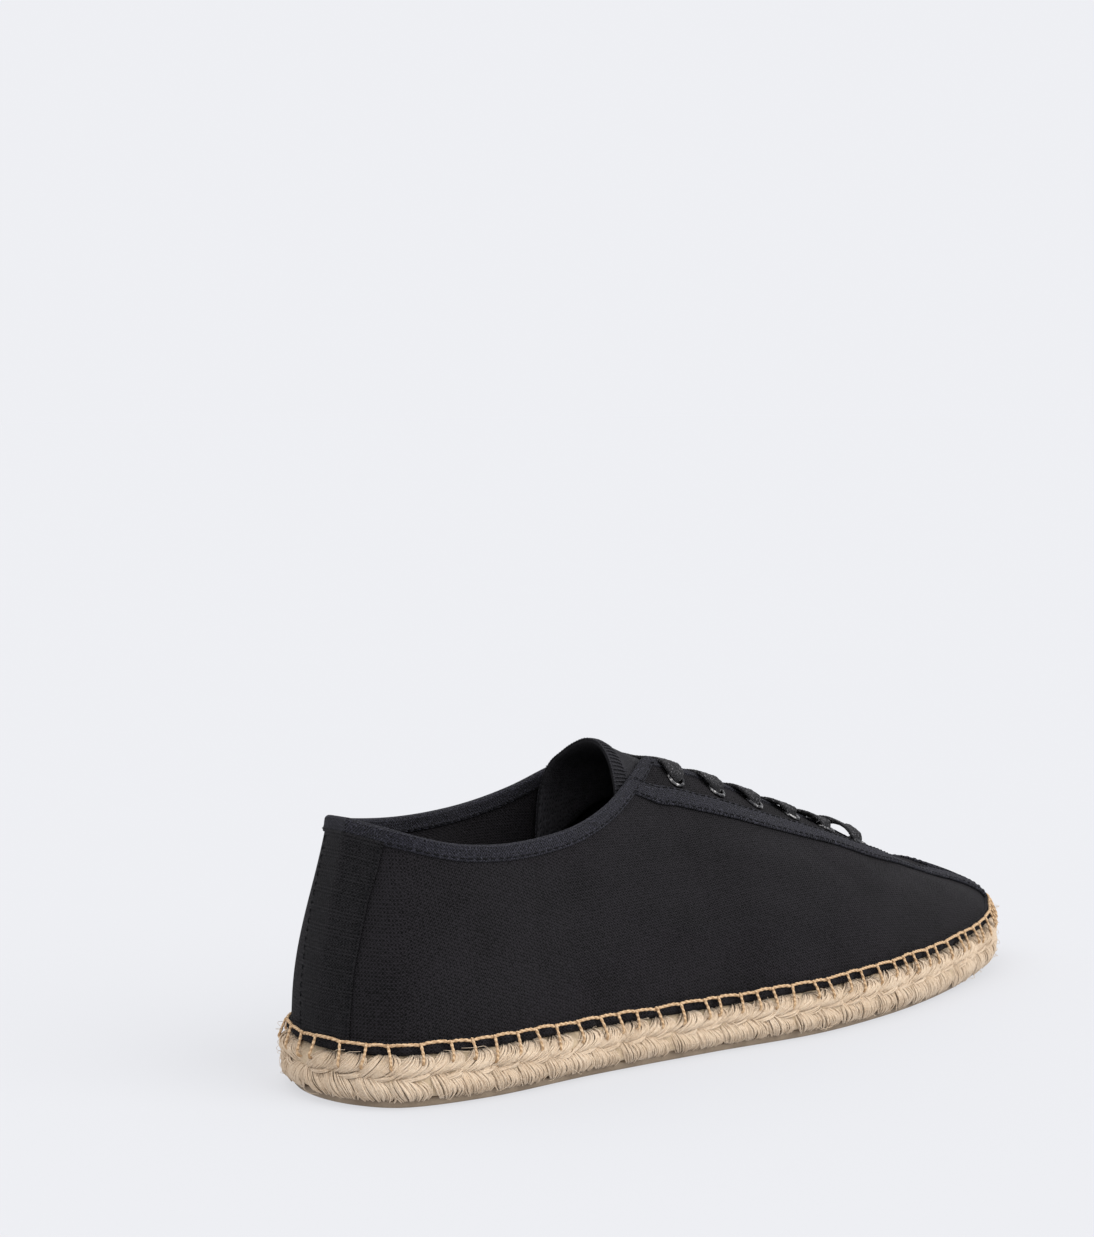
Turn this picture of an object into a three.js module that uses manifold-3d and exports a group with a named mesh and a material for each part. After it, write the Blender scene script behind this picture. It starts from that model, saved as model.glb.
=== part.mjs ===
// A right espadrille: a lace-up canvas upper on a braided jute sole with a thin rubber tread.
// Millimetres. +X runs from heel to toe, +Y to the inner (medial) side, +Z up. The shoe stands on z = 0.
import * as THREE from "three";
import Module from "manifold-3d";
import { mergeVertices } from "three/addons/utils/BufferGeometryUtils.js";

// ---------------------------------------------------------------- driving dimensions
const LENGTH = 296; // heel to toe, along the edge of the rubber tread
const TOE_Y = 7; // the toe tip's place across the shoe
const SPRING_START = 0.7; // share of the length that lies flat before the toe lifts
const TOE_SPRING = 4.4; // lift of the tread under the toe tip
const RUBBER_THICKNESS = 2.8;
const GAP = 0.3; // clearance between pieces that touch
const CANVAS_WALL = 1.7; // canvas, lining and the stiffener between them
const INSOLE_THICKNESS = 2.4;
const INSOLE_INSET = 3.3; // from the upper's outer face to the insole's edge
const TONGUE_THICKNESS = 1.8;
const TONGUE_DROP = 1.7; // space under the facings for the eyelets' inner rims
const SIDE_STEPS = 3; // outline points between two rows of SOLE_ROWS
const WALL_STEPS = 10; // points up each section of the upper

// The sole's half widths at distances along it, and the height of the jute's top face.
const SOLE_ROWS = [
  { along: 2.4, lateral: 12.4, medial: 14.2, top: 15.8 },
  { along: 10, lateral: 23.6, medial: 26.0, top: 15.7 },
  { along: 35, lateral: 31.6, medial: 34.2, top: 15.5 },
  { along: 75, lateral: 33.4, medial: 33.2, top: 14.9 },
  { along: 120, lateral: 38.0, medial: 31.4, top: 14.6 },
  { along: 160, lateral: 43.6, medial: 37.4, top: 15.0 },
  { along: 190, lateral: 42.2, medial: 43.6, top: 15.5 },
  { along: 217, lateral: 37.6, medial: 47.0, top: 15.7 },
  { along: 246, lateral: 30.0, medial: 45.4, top: 15.6 },
  { along: 269, lateral: 20.6, medial: 38.2, top: 15.4 },
  { along: 284, lateral: 9.4, medial: 27.6, top: 15.3 },
  { along: 292, lateral: 2.0, medial: 18.0, top: 15.3 },
];
const HEEL_TOP = 15.8; // the jute's top face at the back of the heel and at the toe tip
const TIP_TOP = 15.3;

// The jute's side: how far it stands out past the tread's edge, at shares of its height.
const JUTE_ROWS = [
  { rise: 0.0, bulge: 0.6 },
  { rise: 0.13, bulge: 2.4 },
  { rise: 0.32, bulge: 3.3 },
  { rise: 0.51, bulge: 2.5 },
  { rise: 0.7, bulge: 3.2 },
  { rise: 0.88, bulge: 2.2 },
  { rise: 1.0, bulge: 0.4 },
];

// The collar, from the middle of the heel to the top of the facings.
const COLLAR_ROWS = [
  { along: 10.4, lateral: 0, medial: 0, lateralZ: 79.4, medialZ: 79.4 },
  { along: 15.4, lateral: -15.4, medial: 15.8, lateralZ: 77.0, medialZ: 78.0 },
  { along: 30, lateral: -22.6, medial: 23.8, lateralZ: 72.6, medialZ: 74.6 },
  { along: 46.5, lateral: -24.3, medial: 25.6, lateralZ: 70.6, medialZ: 73.0 },
  { along: 63, lateral: -24.0, medial: 26.6, lateralZ: 70.7, medialZ: 73.0 },
  { along: 79.5, lateral: -22.3, medial: 27.4, lateralZ: 72.6, medialZ: 74.4 },
  { along: 95, lateral: -18.6, medial: 26.2, lateralZ: 76.8, medialZ: 77.8 },
  { along: 109.4, lateral: -12.4, medial: 22.6, lateralZ: 82.4, medialZ: 83.4 },
  { along: 123, lateral: -4.7, medial: 17.1, lateralZ: 87.4, medialZ: 87.8 },
];

// The two facing edges, from their top corners to where they meet in front of the last eyelets.
const FACING_ROWS = [
  { along: 123, centre: 6.2, half: 10.9, z: 87.4, medialZ: 87.8 },
  { along: 146, centre: 5.5, half: 9.6, z: 79.2, medialZ: 79.5 },
  { along: 170, centre: 4.8, half: 8.0, z: 70.2, medialZ: 70.4 },
  { along: 194, centre: 4.1, half: 6.2, z: 61.0, medialZ: 61.1 },
  { along: 214, centre: 3.5, half: 4.4, z: 52.9, medialZ: 52.6 },
  { along: 223, centre: 3.2, half: 2.6, z: 49.0, medialZ: 48.9 },
  { along: 226, centre: 3.1, half: 0, z: 47.2, medialZ: 47.2 },
];

// The upper's sections. foot counts rows of the sole's outline from the heel (0) to the toe tip (13).
// opening counts the collar's rows (0 to 8) and then the facing's (8 to 14). The lower handle of each
// section leans out by flare; the upper one leaves the opening at pitch below the horizontal.
const SECTION_ROWS = [
  { foot: 0, opening: 0, rise: 24, flare: 1, reach: 22, lateralPitch: 81, medialPitch: 81 },
  { foot: 1, opening: 0.6, rise: 24, flare: 1, reach: 22, lateralPitch: 81, medialPitch: 81 },
  { foot: 2, opening: 1.2, rise: 24, flare: 2, reach: 22, lateralPitch: 80, medialPitch: 80 },
  { foot: 3, opening: 2.4, rise: 22, flare: 2, reach: 20, lateralPitch: 80, medialPitch: 80 },
  { foot: 4, opening: 4.8, rise: 20, flare: 2, reach: 18, lateralPitch: 78, medialPitch: 80 },
  { foot: 5, opening: 7.4, rise: 24, flare: 4, reach: 20, lateralPitch: 62, medialPitch: 68 },
  { foot: 5.3, opening: 8, rise: 24, flare: 5, reach: 20, lateralPitch: 52, medialPitch: 60 },
  { foot: 6, opening: 8.9, rise: 23, flare: 7, reach: 22, lateralPitch: 38, medialPitch: 46 },
  { foot: 7, opening: 9.9, rise: 20, flare: 8, reach: 24, lateralPitch: 30, medialPitch: 37 },
  { foot: 8, opening: 10.8, rise: 16, flare: 8, reach: 25, lateralPitch: 24, medialPitch: 31 },
  { foot: 9, opening: 11.8, rise: 13, flare: 8, reach: 22, lateralPitch: 24, medialPitch: 29 },
  { foot: 10, opening: 12.6, rise: 11.5, flare: 8, reach: 20, lateralPitch: 31, medialPitch: 31 },
  { foot: 11, opening: 13.3, rise: 9.5, flare: 8, reach: 22, lateralPitch: 33, medialPitch: 32 },
  { foot: 12, opening: 13.7, rise: 8.2, flare: 8, reach: 29, lateralPitch: 25, medialPitch: 24 },
  { foot: 13, opening: 14, rise: 7.5, flare: 8, reach: 33, lateralPitch: 17, medialPitch: 17 },
];

const EYELETS = 6; // on each facing
const EYELET_FIRST = 130.5; // along the shoe, top eyelet
const EYELET_LAST = 214; // along the shoe, front eyelet
const EYELET_INSET_FIRST = 7.3; // from the facing's edge to the eyelet's centre, top eyelet
const EYELET_INSET_LAST = 8.7; // the same, front eyelet
const EYELET = {
  hole: 2.1,
  barrel: 2.6,
  rim: 3.9,
  roll: 3.4,
  bevel: 0.5,
  gap: 0.45,
  rimHeight: 0.7,
  rollHeight: 0.6,
  sides: 12,
};
const EYELET_CUT = 2.95; // radius of the holes through the canvas
const DRILL_LENGTH = 12;

const LACE = { width: 7, thickness: 1.3, steps: 12 };
const LACE_EDGE = 0.97; // the place up a section where a bar crosses the facing's edge
// The band's section, in half widths and half thicknesses.
const LACE_SECTION = [[-1, 0], [-0.85, -1], [0.85, -1], [1, 0], [0.85, 1], [-0.85, 1]];
const LACE_CROWNS = [1.2, 0.6, 0.6, 0.6, 1.0, 3.4]; // each bar's height over the facings; the front is slack

// The tongue's free end behind the facings: a cross-section of the sheet, lateral edge to medial edge.
const TONGUE_END_X = 104;
const TONGUE_END_ROWS = [
  { across: -11.6, z: 75.5 },
  { across: -11.0, z: 82.0 },
  { across: -8.6, z: 88.6 },
  { across: -4.2, z: 93.0 },
  { across: 1.6, z: 93.6 },
  { across: 7.6, z: 91.0 },
  { across: 13.2, z: 87.0 },
  { across: 18.4, z: 82.4 },
  { across: 22.2, z: 76.6 },
  { across: 23.6, z: 70.0 },
];
const TONGUE_SKIRT = 17; // width of tongue tucked under each facing
const TONGUE_CROWN = 1.4; // how far the tongue arches up between the facings
// The opening's rows, counted as in SECTION_ROWS, at which the tongue's shape is taken, front first.
const TONGUE_ROWS = [13.6, 12.9, 12, 11, 10, 9, 8.1];
const TONGUE_EDGE = 0.985; // the place up a section where the tongue leaves the facing's underside
const TONGUE_STEPS = 14; // lengthwise
const SKIRT_SHARES = [0, 0.34, 0.67, 1]; // points across each tucked skirt
const ARCH_SHARES = [1 / 3, 2 / 3]; // and across the arch between the facings

const OUTSOLE_EDGE = 0.8; // bevel under the tread's edge
const HANDLE_PULL = 12; // how strongly a section's upper handle turns to the outline's own normal
const NORMAL_STEP = 0.02; // share of a section used to find the surface's normal
const BISECTIONS = 36;
const MERGE_TOLERANCE = 1e-4;

// ---------------------------------------------------------------- general helpers
const lerp = THREE.MathUtils.lerp;
const clamp = THREE.MathUtils.clamp;
const radians = THREE.MathUtils.degToRad;

// A smooth curve through a column of numbers, read at a fractional row.
function columnAt(values, row) {
  const last = values.length - 1;
  const i = clamp(Math.floor(row), 0, last - 1);
  const at = (k) => values[clamp(k, 0, last)];
  const t = row - i;
  const slopeA = (at(i + 1) - at(i - 1)) / 2;
  const slopeB = (at(i + 2) - at(i)) / 2;
  const a = 2 * at(i) - 2 * at(i + 1) + slopeA + slopeB;
  const b = 3 * (at(i + 1) - at(i)) - 2 * slopeA - slopeB;
  return ((a * t + b) * t + slopeA) * t + at(i);
}

// The fractional row at which a rising column reaches a value.
function rowOf(values, value) {
  let i = 0;
  while (i < values.length - 2 && values[i + 1] < value) i += 1;
  return i + (value - values[i]) / (values[i + 1] - values[i]);
}

// The value between low and high up to which a test holds.
function bisect(low, high, holds) {
  let [a, b] = [low, high];
  for (let i = 0; i < BISECTIONS; i += 1) {
    const middle = (a + b) / 2;
    if (holds(middle)) a = middle;
    else b = middle;
  }
  return (a + b) / 2;
}

// The lift of the sole towards the toe.
function lift(x) {
  const share = clamp((x / LENGTH - SPRING_START) / (1 - SPRING_START), 0, 1);
  return TOE_SPRING * share * share;
}

// A closed solid through rings of equal length. Its end caps join point i to point n - i.
function loft(rings) {
  const n = rings[0].length;
  const positions = rings.flat().flatMap((p) => [p.x, p.y, p.z]);
  const index = [];
  for (let r = 0; r + 1 < rings.length; r += 1) {
    for (let i = 0; i < n; i += 1) {
      const j = (i + 1) % n;
      const a = r * n + i;
      const b = r * n + j;
      index.push(a, b, b + n, a, b + n, a + n);
    }
  }
  const cap = (base, flipped) => {
    for (let i = 0; i < n / 2; i += 1) {
      const quad = [i, i + 1, n - i - 1, (n - i) % n].map((k) => base + k);
      const triangles = [[quad[0], quad[2], quad[1]], [quad[0], quad[3], quad[2]]];
      for (const t of triangles) {
        if (new Set(t).size === 3) index.push(...(flipped ? [t[0], t[2], t[1]] : t));
      }
    }
  };
  cap(0, false);
  cap((rings.length - 1) * n, true);
  return outward(positions, index);
}

// A geometry from positions and triangles, turned so that its faces point out.
function outward(positions, index) {
  let volume = 0;
  const p = [0, 1, 2].map(() => new THREE.Vector3());
  for (let t = 0; t < index.length; t += 3) {
    p.forEach((v, k) => v.fromArray(positions, index[t + k] * 3));
    volume += p[0].dot(p[1].clone().cross(p[2]));
  }
  const turned = [...index];
  if (volume < 0) {
    for (let t = 0; t < turned.length; t += 3) [turned[t], turned[t + 1]] = [turned[t + 1], turned[t]];
  }
  const geometry = new THREE.BufferGeometry();
  geometry.setAttribute("position", new THREE.Float32BufferAttribute(positions, 3));
  geometry.setIndex(turned);
  return geometry;
}

// ---------------------------------------------------------------- the sole's outline
const TIP_ROW = SOLE_ROWS.length + 1;
const outlineCurve = new THREE.CatmullRomCurve3(
  [
    new THREE.Vector3(0, 0, 0),
    ...SOLE_ROWS.map((row) => new THREE.Vector3(row.along, -row.lateral, 0)),
    new THREE.Vector3(LENGTH, TOE_Y, 0),
    ...[...SOLE_ROWS].reverse().map((row) => new THREE.Vector3(row.along, row.medial, 0)),
  ],
  true,
  "centripetal",
);
const topColumn = [HEEL_TOP, ...SOLE_ROWS.map((row) => row.top), TIP_TOP];

// A point on the outline, counted in rows from the heel: side -1 is lateral, 1 is medial.
function outlineAt(row, side, offset = 0) {
  const share = row / (2 * TIP_ROW);
  const t = side < 0 ? share : 1 - share;
  const point = outlineCurve.getPoint(t % 1);
  const tangent = outlineCurve.getTangent(t % 1);
  const normal = new THREE.Vector3(tangent.y, -tangent.x, 0).normalize();
  return { point: point.addScaledVector(normal, offset), normal };
}

// Every step round the outline, heel first and lateral side first: row and side of each point.
const AROUND = Array.from({ length: 2 * TIP_ROW * SIDE_STEPS }, (_, i) => {
  const row = i / SIDE_STEPS;
  return row <= TIP_ROW ? { row, side: -1 } : { row: 2 * TIP_ROW - row, side: 1 };
});

// A ring that follows the outline at a height above the (lifted) ground.
function soleRing(offset, heightAt) {
  return AROUND.map(({ row, side }) => {
    const { point } = outlineAt(row, side, offset);
    return point.setZ(heightAt(row) + lift(point.x));
  });
}

const juteFloor = RUBBER_THICKNESS + GAP;
const juteTop = (row) => columnAt(topColumn, row);
const footHeight = (row) => juteTop(row) + GAP;

function makeOutsole() {
  return loft([
    soleRing(-OUTSOLE_EDGE, () => 0),
    soleRing(0, () => OUTSOLE_EDGE),
    soleRing(0, () => RUBBER_THICKNESS),
  ]);
}

function makeMidsole() {
  const heightAt = (rise) => (row) => lerp(juteFloor, juteTop(row), rise);
  return loft(JUTE_ROWS.map(({ rise, bulge }) => soleRing(bulge, heightAt(rise))));
}

function makeInsole() {
  return loft([
    soleRing(-INSOLE_INSET, footHeight),
    soleRing(-INSOLE_INSET, (row) => footHeight(row) + INSOLE_THICKNESS),
  ]);
}

// ---------------------------------------------------------------- the upper's surface
const CORNER = COLLAR_ROWS.length - 1; // the opening's row at the top of the facings
const THROAT = CORNER + FACING_ROWS.length - 1; // its row where the facings meet

function curveThrough(points) {
  return new THREE.CatmullRomCurve3(points, false, "centripetal");
}
const collarCurve = {
  "-1": curveThrough(COLLAR_ROWS.map((r) => new THREE.Vector3(r.along, r.lateral, r.lateralZ))),
  1: curveThrough(COLLAR_ROWS.map((r) => new THREE.Vector3(r.along, r.medial, r.medialZ))),
};
const facingCurve = {
  "-1": curveThrough(FACING_ROWS.map((r) => new THREE.Vector3(r.along, r.centre - r.half, r.z))),
  1: curveThrough(FACING_ROWS.map((r) => new THREE.Vector3(r.along, r.centre + r.half, r.medialZ))),
};

// A point of the opening, counted in rows from the heel, down the facing, to the end of the throat.
function openingAt(row, side) {
  if (row <= CORNER) return collarCurve[side].getPoint(row / CORNER);
  return facingCurve[side].getPoint(Math.min((row - CORNER) / (THROAT - CORNER), 1));
}

const sectionColumn = (name) => SECTION_ROWS.map((row) => row[name]);
const SECTION_FOOT = sectionColumn("foot");
const SECTION_OPENING = sectionColumn("opening");

// One section of the upper: a cubic curve from the sole's edge up to the opening.
function sectionCurve(place, side) {
  const value = (name) => columnAt(sectionColumn(name), place);
  const footRow = clamp(value("foot"), 0, TIP_ROW);
  const { point: foot, normal } = outlineAt(footRow, side);
  foot.setZ(footHeight(footRow) + lift(foot.x));
  const top = openingAt(clamp(value("opening"), 0, THROAT), side);
  const flare = radians(value("flare"));
  const pitch = radians(value(side < 0 ? "lateralPitch" : "medialPitch"));
  const low = foot.clone().addScaledVector(normal, Math.sin(flare) * value("rise"));
  low.z += Math.cos(flare) * value("rise");
  const away = new THREE.Vector3(foot.x - top.x, foot.y - top.y, 0);
  away.addScaledVector(normal, HANDLE_PULL).normalize();
  const high = top.clone().addScaledVector(away, Math.cos(pitch) * value("reach"));
  high.z -= Math.sin(pitch) * value("reach");
  return new THREE.CubicBezierCurve3(foot, low, high, top);
}

// The surface: place counts SECTION_ROWS from heel to toe, up runs 0 at the sole to 1 at the opening.
const LAST_SECTION = SECTION_ROWS.length - 1;
function surfaceAt(place, side, up) {
  return sectionCurve(place, side).getPoint(up);
}

// The surface's outward normal, from two short steps.
function surfaceNormal(place, side, up) {
  const upA = clamp(up - NORMAL_STEP, 0, 1);
  const upB = clamp(up + NORMAL_STEP, 0, 1);
  const climb = surfaceAt(place, side, upB).sub(surfaceAt(place, side, upA));
  const placeA = Math.max(place - NORMAL_STEP, 0);
  const placeB = Math.min(place + NORMAL_STEP, LAST_SECTION);
  const ahead = surfaceAt(placeB, side, up).sub(surfaceAt(placeA, side, up));
  return climb.cross(ahead).multiplyScalar(side).normalize();
}

// The places whose sections start at a row of the outline, or end at a row of the opening.
const placeOfFoot = (row) => bisect(0, LAST_SECTION, (place) => columnAt(SECTION_FOOT, place) < row);
const placeOfOpening = (row) => bisect(0, LAST_SECTION, (place) => columnAt(SECTION_OPENING, place) < row);

// The place up a section that lies a straight distance below the opening's edge.
function upBelowEdge(place, side, distance) {
  const edge = surfaceAt(place, side, 1);
  return bisect(0, 1, (up) => surfaceAt(place, side, up).distanceTo(edge) > distance);
}

// Outer and inner points up one section. The inner side stands CANVAS_WALL inside the outer.
function wallColumn({ row, side }) {
  const place = placeOfFoot(row);
  const outer = [];
  const inner = [];
  for (let k = 0; k <= WALL_STEPS; k += 1) {
    const up = k / WALL_STEPS;
    const point = surfaceAt(place, side, up);
    const normal = surfaceNormal(place, side, up);
    if (row === 0 || row === TIP_ROW) normal.setY(0).normalize();
    const inside = point.clone().addScaledVector(normal, -CANVAS_WALL);
    if (k === 0) inside.z = point.z;
    outer.push(point);
    inner.push(inside);
  }
  return { outer, inner };
}

// The upper as a closed band: up the outside, over the opening's edge and down the inside.
function makeUpperShell() {
  const rings = AROUND.map(wallColumn).map(({ outer, inner }) => [...outer, ...inner.reverse()]);
  const n = rings[0].length;
  const positions = rings.flat().flatMap((p) => [p.x, p.y, p.z]);
  const index = [];
  rings.forEach((_, r) => {
    const next = (r + 1) % rings.length;
    for (let i = 0; i < n; i += 1) {
      const j = (i + 1) % n;
      index.push(r * n + i, r * n + j, next * n + j, r * n + i, next * n + j, next * n + i);
    }
  });
  return outward(positions, index);
}

// ---------------------------------------------------------------- solids
const wasm = await Module();
wasm.setup();

function toSolid(geometry) {
  const bare = geometry.clone();
  bare.deleteAttribute("normal");
  bare.deleteAttribute("uv");
  const merged = mergeVertices(bare, MERGE_TOLERANCE);
  return new wasm.Manifold(
    new wasm.Mesh({
      numProp: 3,
      vertProperties: new Float32Array(merged.attributes.position.array),
      triVerts: new Uint32Array(merged.index.array),
    }),
  );
}

function toGeometry(solid) {
  const mesh = solid.getMesh();
  const geometry = new THREE.BufferGeometry();
  geometry.setAttribute("position", new THREE.BufferAttribute(new Float32Array(mesh.vertProperties), 3));
  geometry.setIndex(new THREE.BufferAttribute(new Uint32Array(mesh.triVerts), 1));
  return geometry;
}

// ---------------------------------------------------------------- eyelets
// A place on the facing: the surface point at a distance along the shoe, inset from the facing's edge.
function facingPlace(along, side, inset) {
  const alongColumn = FACING_ROWS.map((row) => row.along);
  const place = placeOfOpening(CORNER + rowOf(alongColumn, along));
  const up = upBelowEdge(place, side, inset);
  return { point: surfaceAt(place, side, up), normal: surfaceNormal(place, side, up), place, up };
}

const eyeletPlaces = [-1, 1].flatMap((side) =>
  Array.from({ length: EYELETS }, (_, i) => {
    const share = i / (EYELETS - 1);
    const along = lerp(EYELET_FIRST, EYELET_LAST, share);
    const inset = lerp(EYELET_INSET_FIRST, EYELET_INSET_LAST, share);
    return { side, number: i + 1, ...facingPlace(along, side, inset) };
  }),
);

// Turns a geometry made round +Y so that it stands on the surface.
function seat(geometry, { point, normal }) {
  const turn = new THREE.Quaternion().setFromUnitVectors(new THREE.Vector3(0, 1, 0), normal);
  return geometry.applyQuaternion(turn).translate(point.x, point.y, point.z);
}

function makeEyelet(place) {
  const under = -(CANVAS_WALL + EYELET.gap);
  const profile = [
    [EYELET.hole, EYELET.gap + EYELET.rimHeight],
    [EYELET.hole, under - EYELET.rollHeight],
    [EYELET.roll, under - EYELET.rollHeight],
    [EYELET.roll, under],
    [EYELET.barrel, under],
    [EYELET.barrel, EYELET.gap],
    [EYELET.rim, EYELET.gap],
    [EYELET.rim - EYELET.bevel, EYELET.gap + EYELET.rimHeight],
    [EYELET.hole, EYELET.gap + EYELET.rimHeight],
  ].map(([radius, height]) => new THREE.Vector2(radius, height));
  return seat(new THREE.LatheGeometry(profile, EYELET.sides), place);
}

function makeUpper() {
  return toGeometry(
    eyeletPlaces.reduce((solid, place) => {
      const drill = new THREE.CylinderGeometry(EYELET_CUT, EYELET_CUT, DRILL_LENGTH, EYELET.sides);
      return solid.subtract(toSolid(seat(drill, place)));
    }, toSolid(makeUpperShell())),
  );
}

// ---------------------------------------------------------------- tongue
// Points of the tongue's top face under one facing, from its outer edge to the facing's edge.
function tongueSkirt(place, side) {
  const low = upBelowEdge(place, side, TONGUE_SKIRT);
  return SKIRT_SHARES.map((share) => {
    const up = lerp(low, TONGUE_EDGE, share);
    const depth = CANVAS_WALL + TONGUE_DROP;
    return surfaceAt(place, side, up).addScaledVector(surfaceNormal(place, side, up), -depth);
  });
}

// A section of the tongue's top face across the shoe: skirt, arch between the facings, skirt.
function tongueSection(openingRow) {
  const place = placeOfOpening(openingRow);
  const lateral = tongueSkirt(place, -1);
  const medial = tongueSkirt(place, 1).reverse();
  const arch = ARCH_SHARES.map((share) => {
    const point = lateral.at(-1).clone().lerp(medial[0], share);
    return point.setZ(point.z + TONGUE_CROWN);
  });
  return [...lateral, ...arch, ...medial];
}

function makeTongue() {
  const end = TONGUE_END_ROWS.map((row) => new THREE.Vector3(TONGUE_END_X, row.across, row.z));
  const rows = [...TONGUE_ROWS.map(tongueSection), end];
  const lengthwise = end.map((_, k) => curveThrough(rows.map((row) => row[k])));
  const sheet = Array.from({ length: TONGUE_STEPS + 1 }, (_, i) =>
    lengthwise.map((curve) => curve.getPoint(i / TONGUE_STEPS)),
  );
  const rings = sheet.map((row, i) => {
    const before = sheet[Math.max(i - 1, 0)];
    const after = sheet[Math.min(i + 1, TONGUE_STEPS)];
    const below = row.map((point, k) => {
      const along = after[k].clone().sub(before[k]);
      const across = row[Math.min(k + 1, row.length - 1)].clone().sub(row[Math.max(k - 1, 0)]);
      return point.clone().addScaledVector(along.cross(across).normalize(), TONGUE_THICKNESS);
    });
    return [...row, ...below.reverse()];
  });
  return loft(rings);
}

// ---------------------------------------------------------------- lace
// The lace's width direction at a pair of eyelets: along the throat.
function laceForward(a, b) {
  const across = b.point.clone().sub(a.point);
  const normal = a.normal.clone().add(b.normal).normalize();
  return across.cross(normal).normalize();
}

// One bar of the lace: a flat band from above the lateral eyelet to above the medial one.
function makeLaceBar(number) {
  const [a, b] = [-1, 1].map((side) => eyeletPlaces.find((e) => e.side === side && e.number === number));
  const clear = EYELET.gap + EYELET.rimHeight + 2 * GAP + LACE.thickness / 2;
  const above = (e, up) =>
    surfaceAt(e.place, e.side, up).addScaledVector(surfaceNormal(e.place, e.side, up), clear);
  const [edgeA, edgeB] = [a, b].map((e) => above(e, LACE_EDGE));
  const crown = edgeA.clone().lerp(edgeB, 0.5).add(new THREE.Vector3(0, 0, LACE_CROWNS[number - 1]));
  const path = curveThrough([above(a, a.up), edgeA, crown, edgeB, above(b, b.up)]);
  const forward = laceForward(a, b);
  const rings = Array.from({ length: LACE.steps + 1 }, (_, i) => {
    const centre = path.getPoint(i / LACE.steps);
    const up = path.getTangent(i / LACE.steps).cross(forward).normalize();
    return LACE_SECTION.map(([x, y]) =>
      centre
        .clone()
        .addScaledVector(forward, (x * LACE.width) / 2)
        .addScaledVector(up, (y * LACE.thickness) / 2),
    );
  });
  return loft(rings);
}

// ---------------------------------------------------------------- materials and assembly
function finish(color, roughness, metalness = 0) {
  return new THREE.MeshStandardMaterial({ color, roughness, metalness });
}

const shoe = new THREE.Group();
function add(name, geometry, material) {
  const mesh = new THREE.Mesh(geometry, material);
  mesh.name = name;
  shoe.add(mesh);
}

add("outsole", makeOutsole(), finish("#a98f74", 0.85));
add("midsole", makeMidsole(), finish("#cdb996", 0.95));
add("insole", makeInsole(), finish("#1c1c1f", 0.9));
add("upper", makeUpper(), finish("#1d1d20", 0.9));
add("tongue", makeTongue(), finish("#1d1d20", 0.9));
for (const place of eyeletPlaces) {
  const side = place.side < 0 ? "lateral" : "medial";
  add(`eyelet_${side}_${place.number}`, makeEyelet(place), finish("#3a3b3f", 0.35, 0.9));
}
for (let number = 1; number <= EYELETS; number += 1) {
  add(`lace_bar_${number}`, makeLaceBar(number), finish("#1b1b1e", 0.9));
}

// The frame's origin is the middle of the shoe's footprint, on the ground.
const box = new THREE.Box3().setFromObject(shoe);
const middle = box.getCenter(new THREE.Vector3());
shoe.position.set(-middle.x, -middle.y, 0);

export default shoe;
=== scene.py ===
# A right espadrille: a black lace-up canvas upper on a braided jute sole with a thin rubber tread.
import math
from contextlib import contextmanager
import bmesh
import bpy
import numpy as np
from mathutils import Matrix, Vector
from mathutils.bvhtree import BVHTree


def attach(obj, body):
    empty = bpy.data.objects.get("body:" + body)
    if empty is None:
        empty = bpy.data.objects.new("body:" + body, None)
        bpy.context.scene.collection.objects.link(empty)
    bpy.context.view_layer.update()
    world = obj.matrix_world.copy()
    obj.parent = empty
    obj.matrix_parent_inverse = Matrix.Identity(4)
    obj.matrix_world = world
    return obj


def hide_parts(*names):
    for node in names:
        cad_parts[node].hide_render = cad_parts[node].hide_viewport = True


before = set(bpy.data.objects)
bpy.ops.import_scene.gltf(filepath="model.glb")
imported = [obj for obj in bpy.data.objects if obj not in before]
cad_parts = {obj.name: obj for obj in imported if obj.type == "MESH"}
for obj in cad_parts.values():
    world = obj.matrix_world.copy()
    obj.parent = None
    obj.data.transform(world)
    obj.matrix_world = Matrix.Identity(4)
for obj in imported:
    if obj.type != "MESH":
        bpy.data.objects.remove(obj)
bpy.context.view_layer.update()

# ---------------------------------------------------------------- the shoe's own sizes, in millimetres
# x runs from heel to toe, y to the inner (medial) side, z up. ORIGIN moves them into the row frame.
ORIGIN = np.array([-147.9991, -1.7033, 0.0])
LENGTH = 296.0
SPRING_START = 0.7
TOE_SPRING = 4.4
RUBBER = 2.8
GAP = 0.3
TIP_ROW = 13
RING = 2 * TIP_ROW

# Sole rows: along, lateral half width, medial half width, height of the jute's top face.
SOLE_ROWS = np.array([
    (2.4, 12.4, 14.2, 15.8),
    (10, 23.6, 26.0, 15.7),
    (35, 31.6, 34.2, 15.5),
    (75, 33.4, 33.2, 14.9),
    (120, 38.0, 31.4, 14.6),
    (160, 43.6, 37.4, 15.0),
    (190, 42.2, 43.6, 15.5),
    (217, 37.6, 47.0, 15.7),
    (246, 30.0, 45.4, 15.6),
    (269, 20.6, 38.2, 15.4),
    (284, 9.4, 27.6, 15.3),
    (292, 2.0, 18.0, 15.3),
])
HEEL_POINT = (0.0, 0.0, 0.0)
TIP_POINT = (LENGTH, 7.0, 0.0)
TOP_COLUMN = np.array([15.8, *SOLE_ROWS[:, 3], 15.3])

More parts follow.
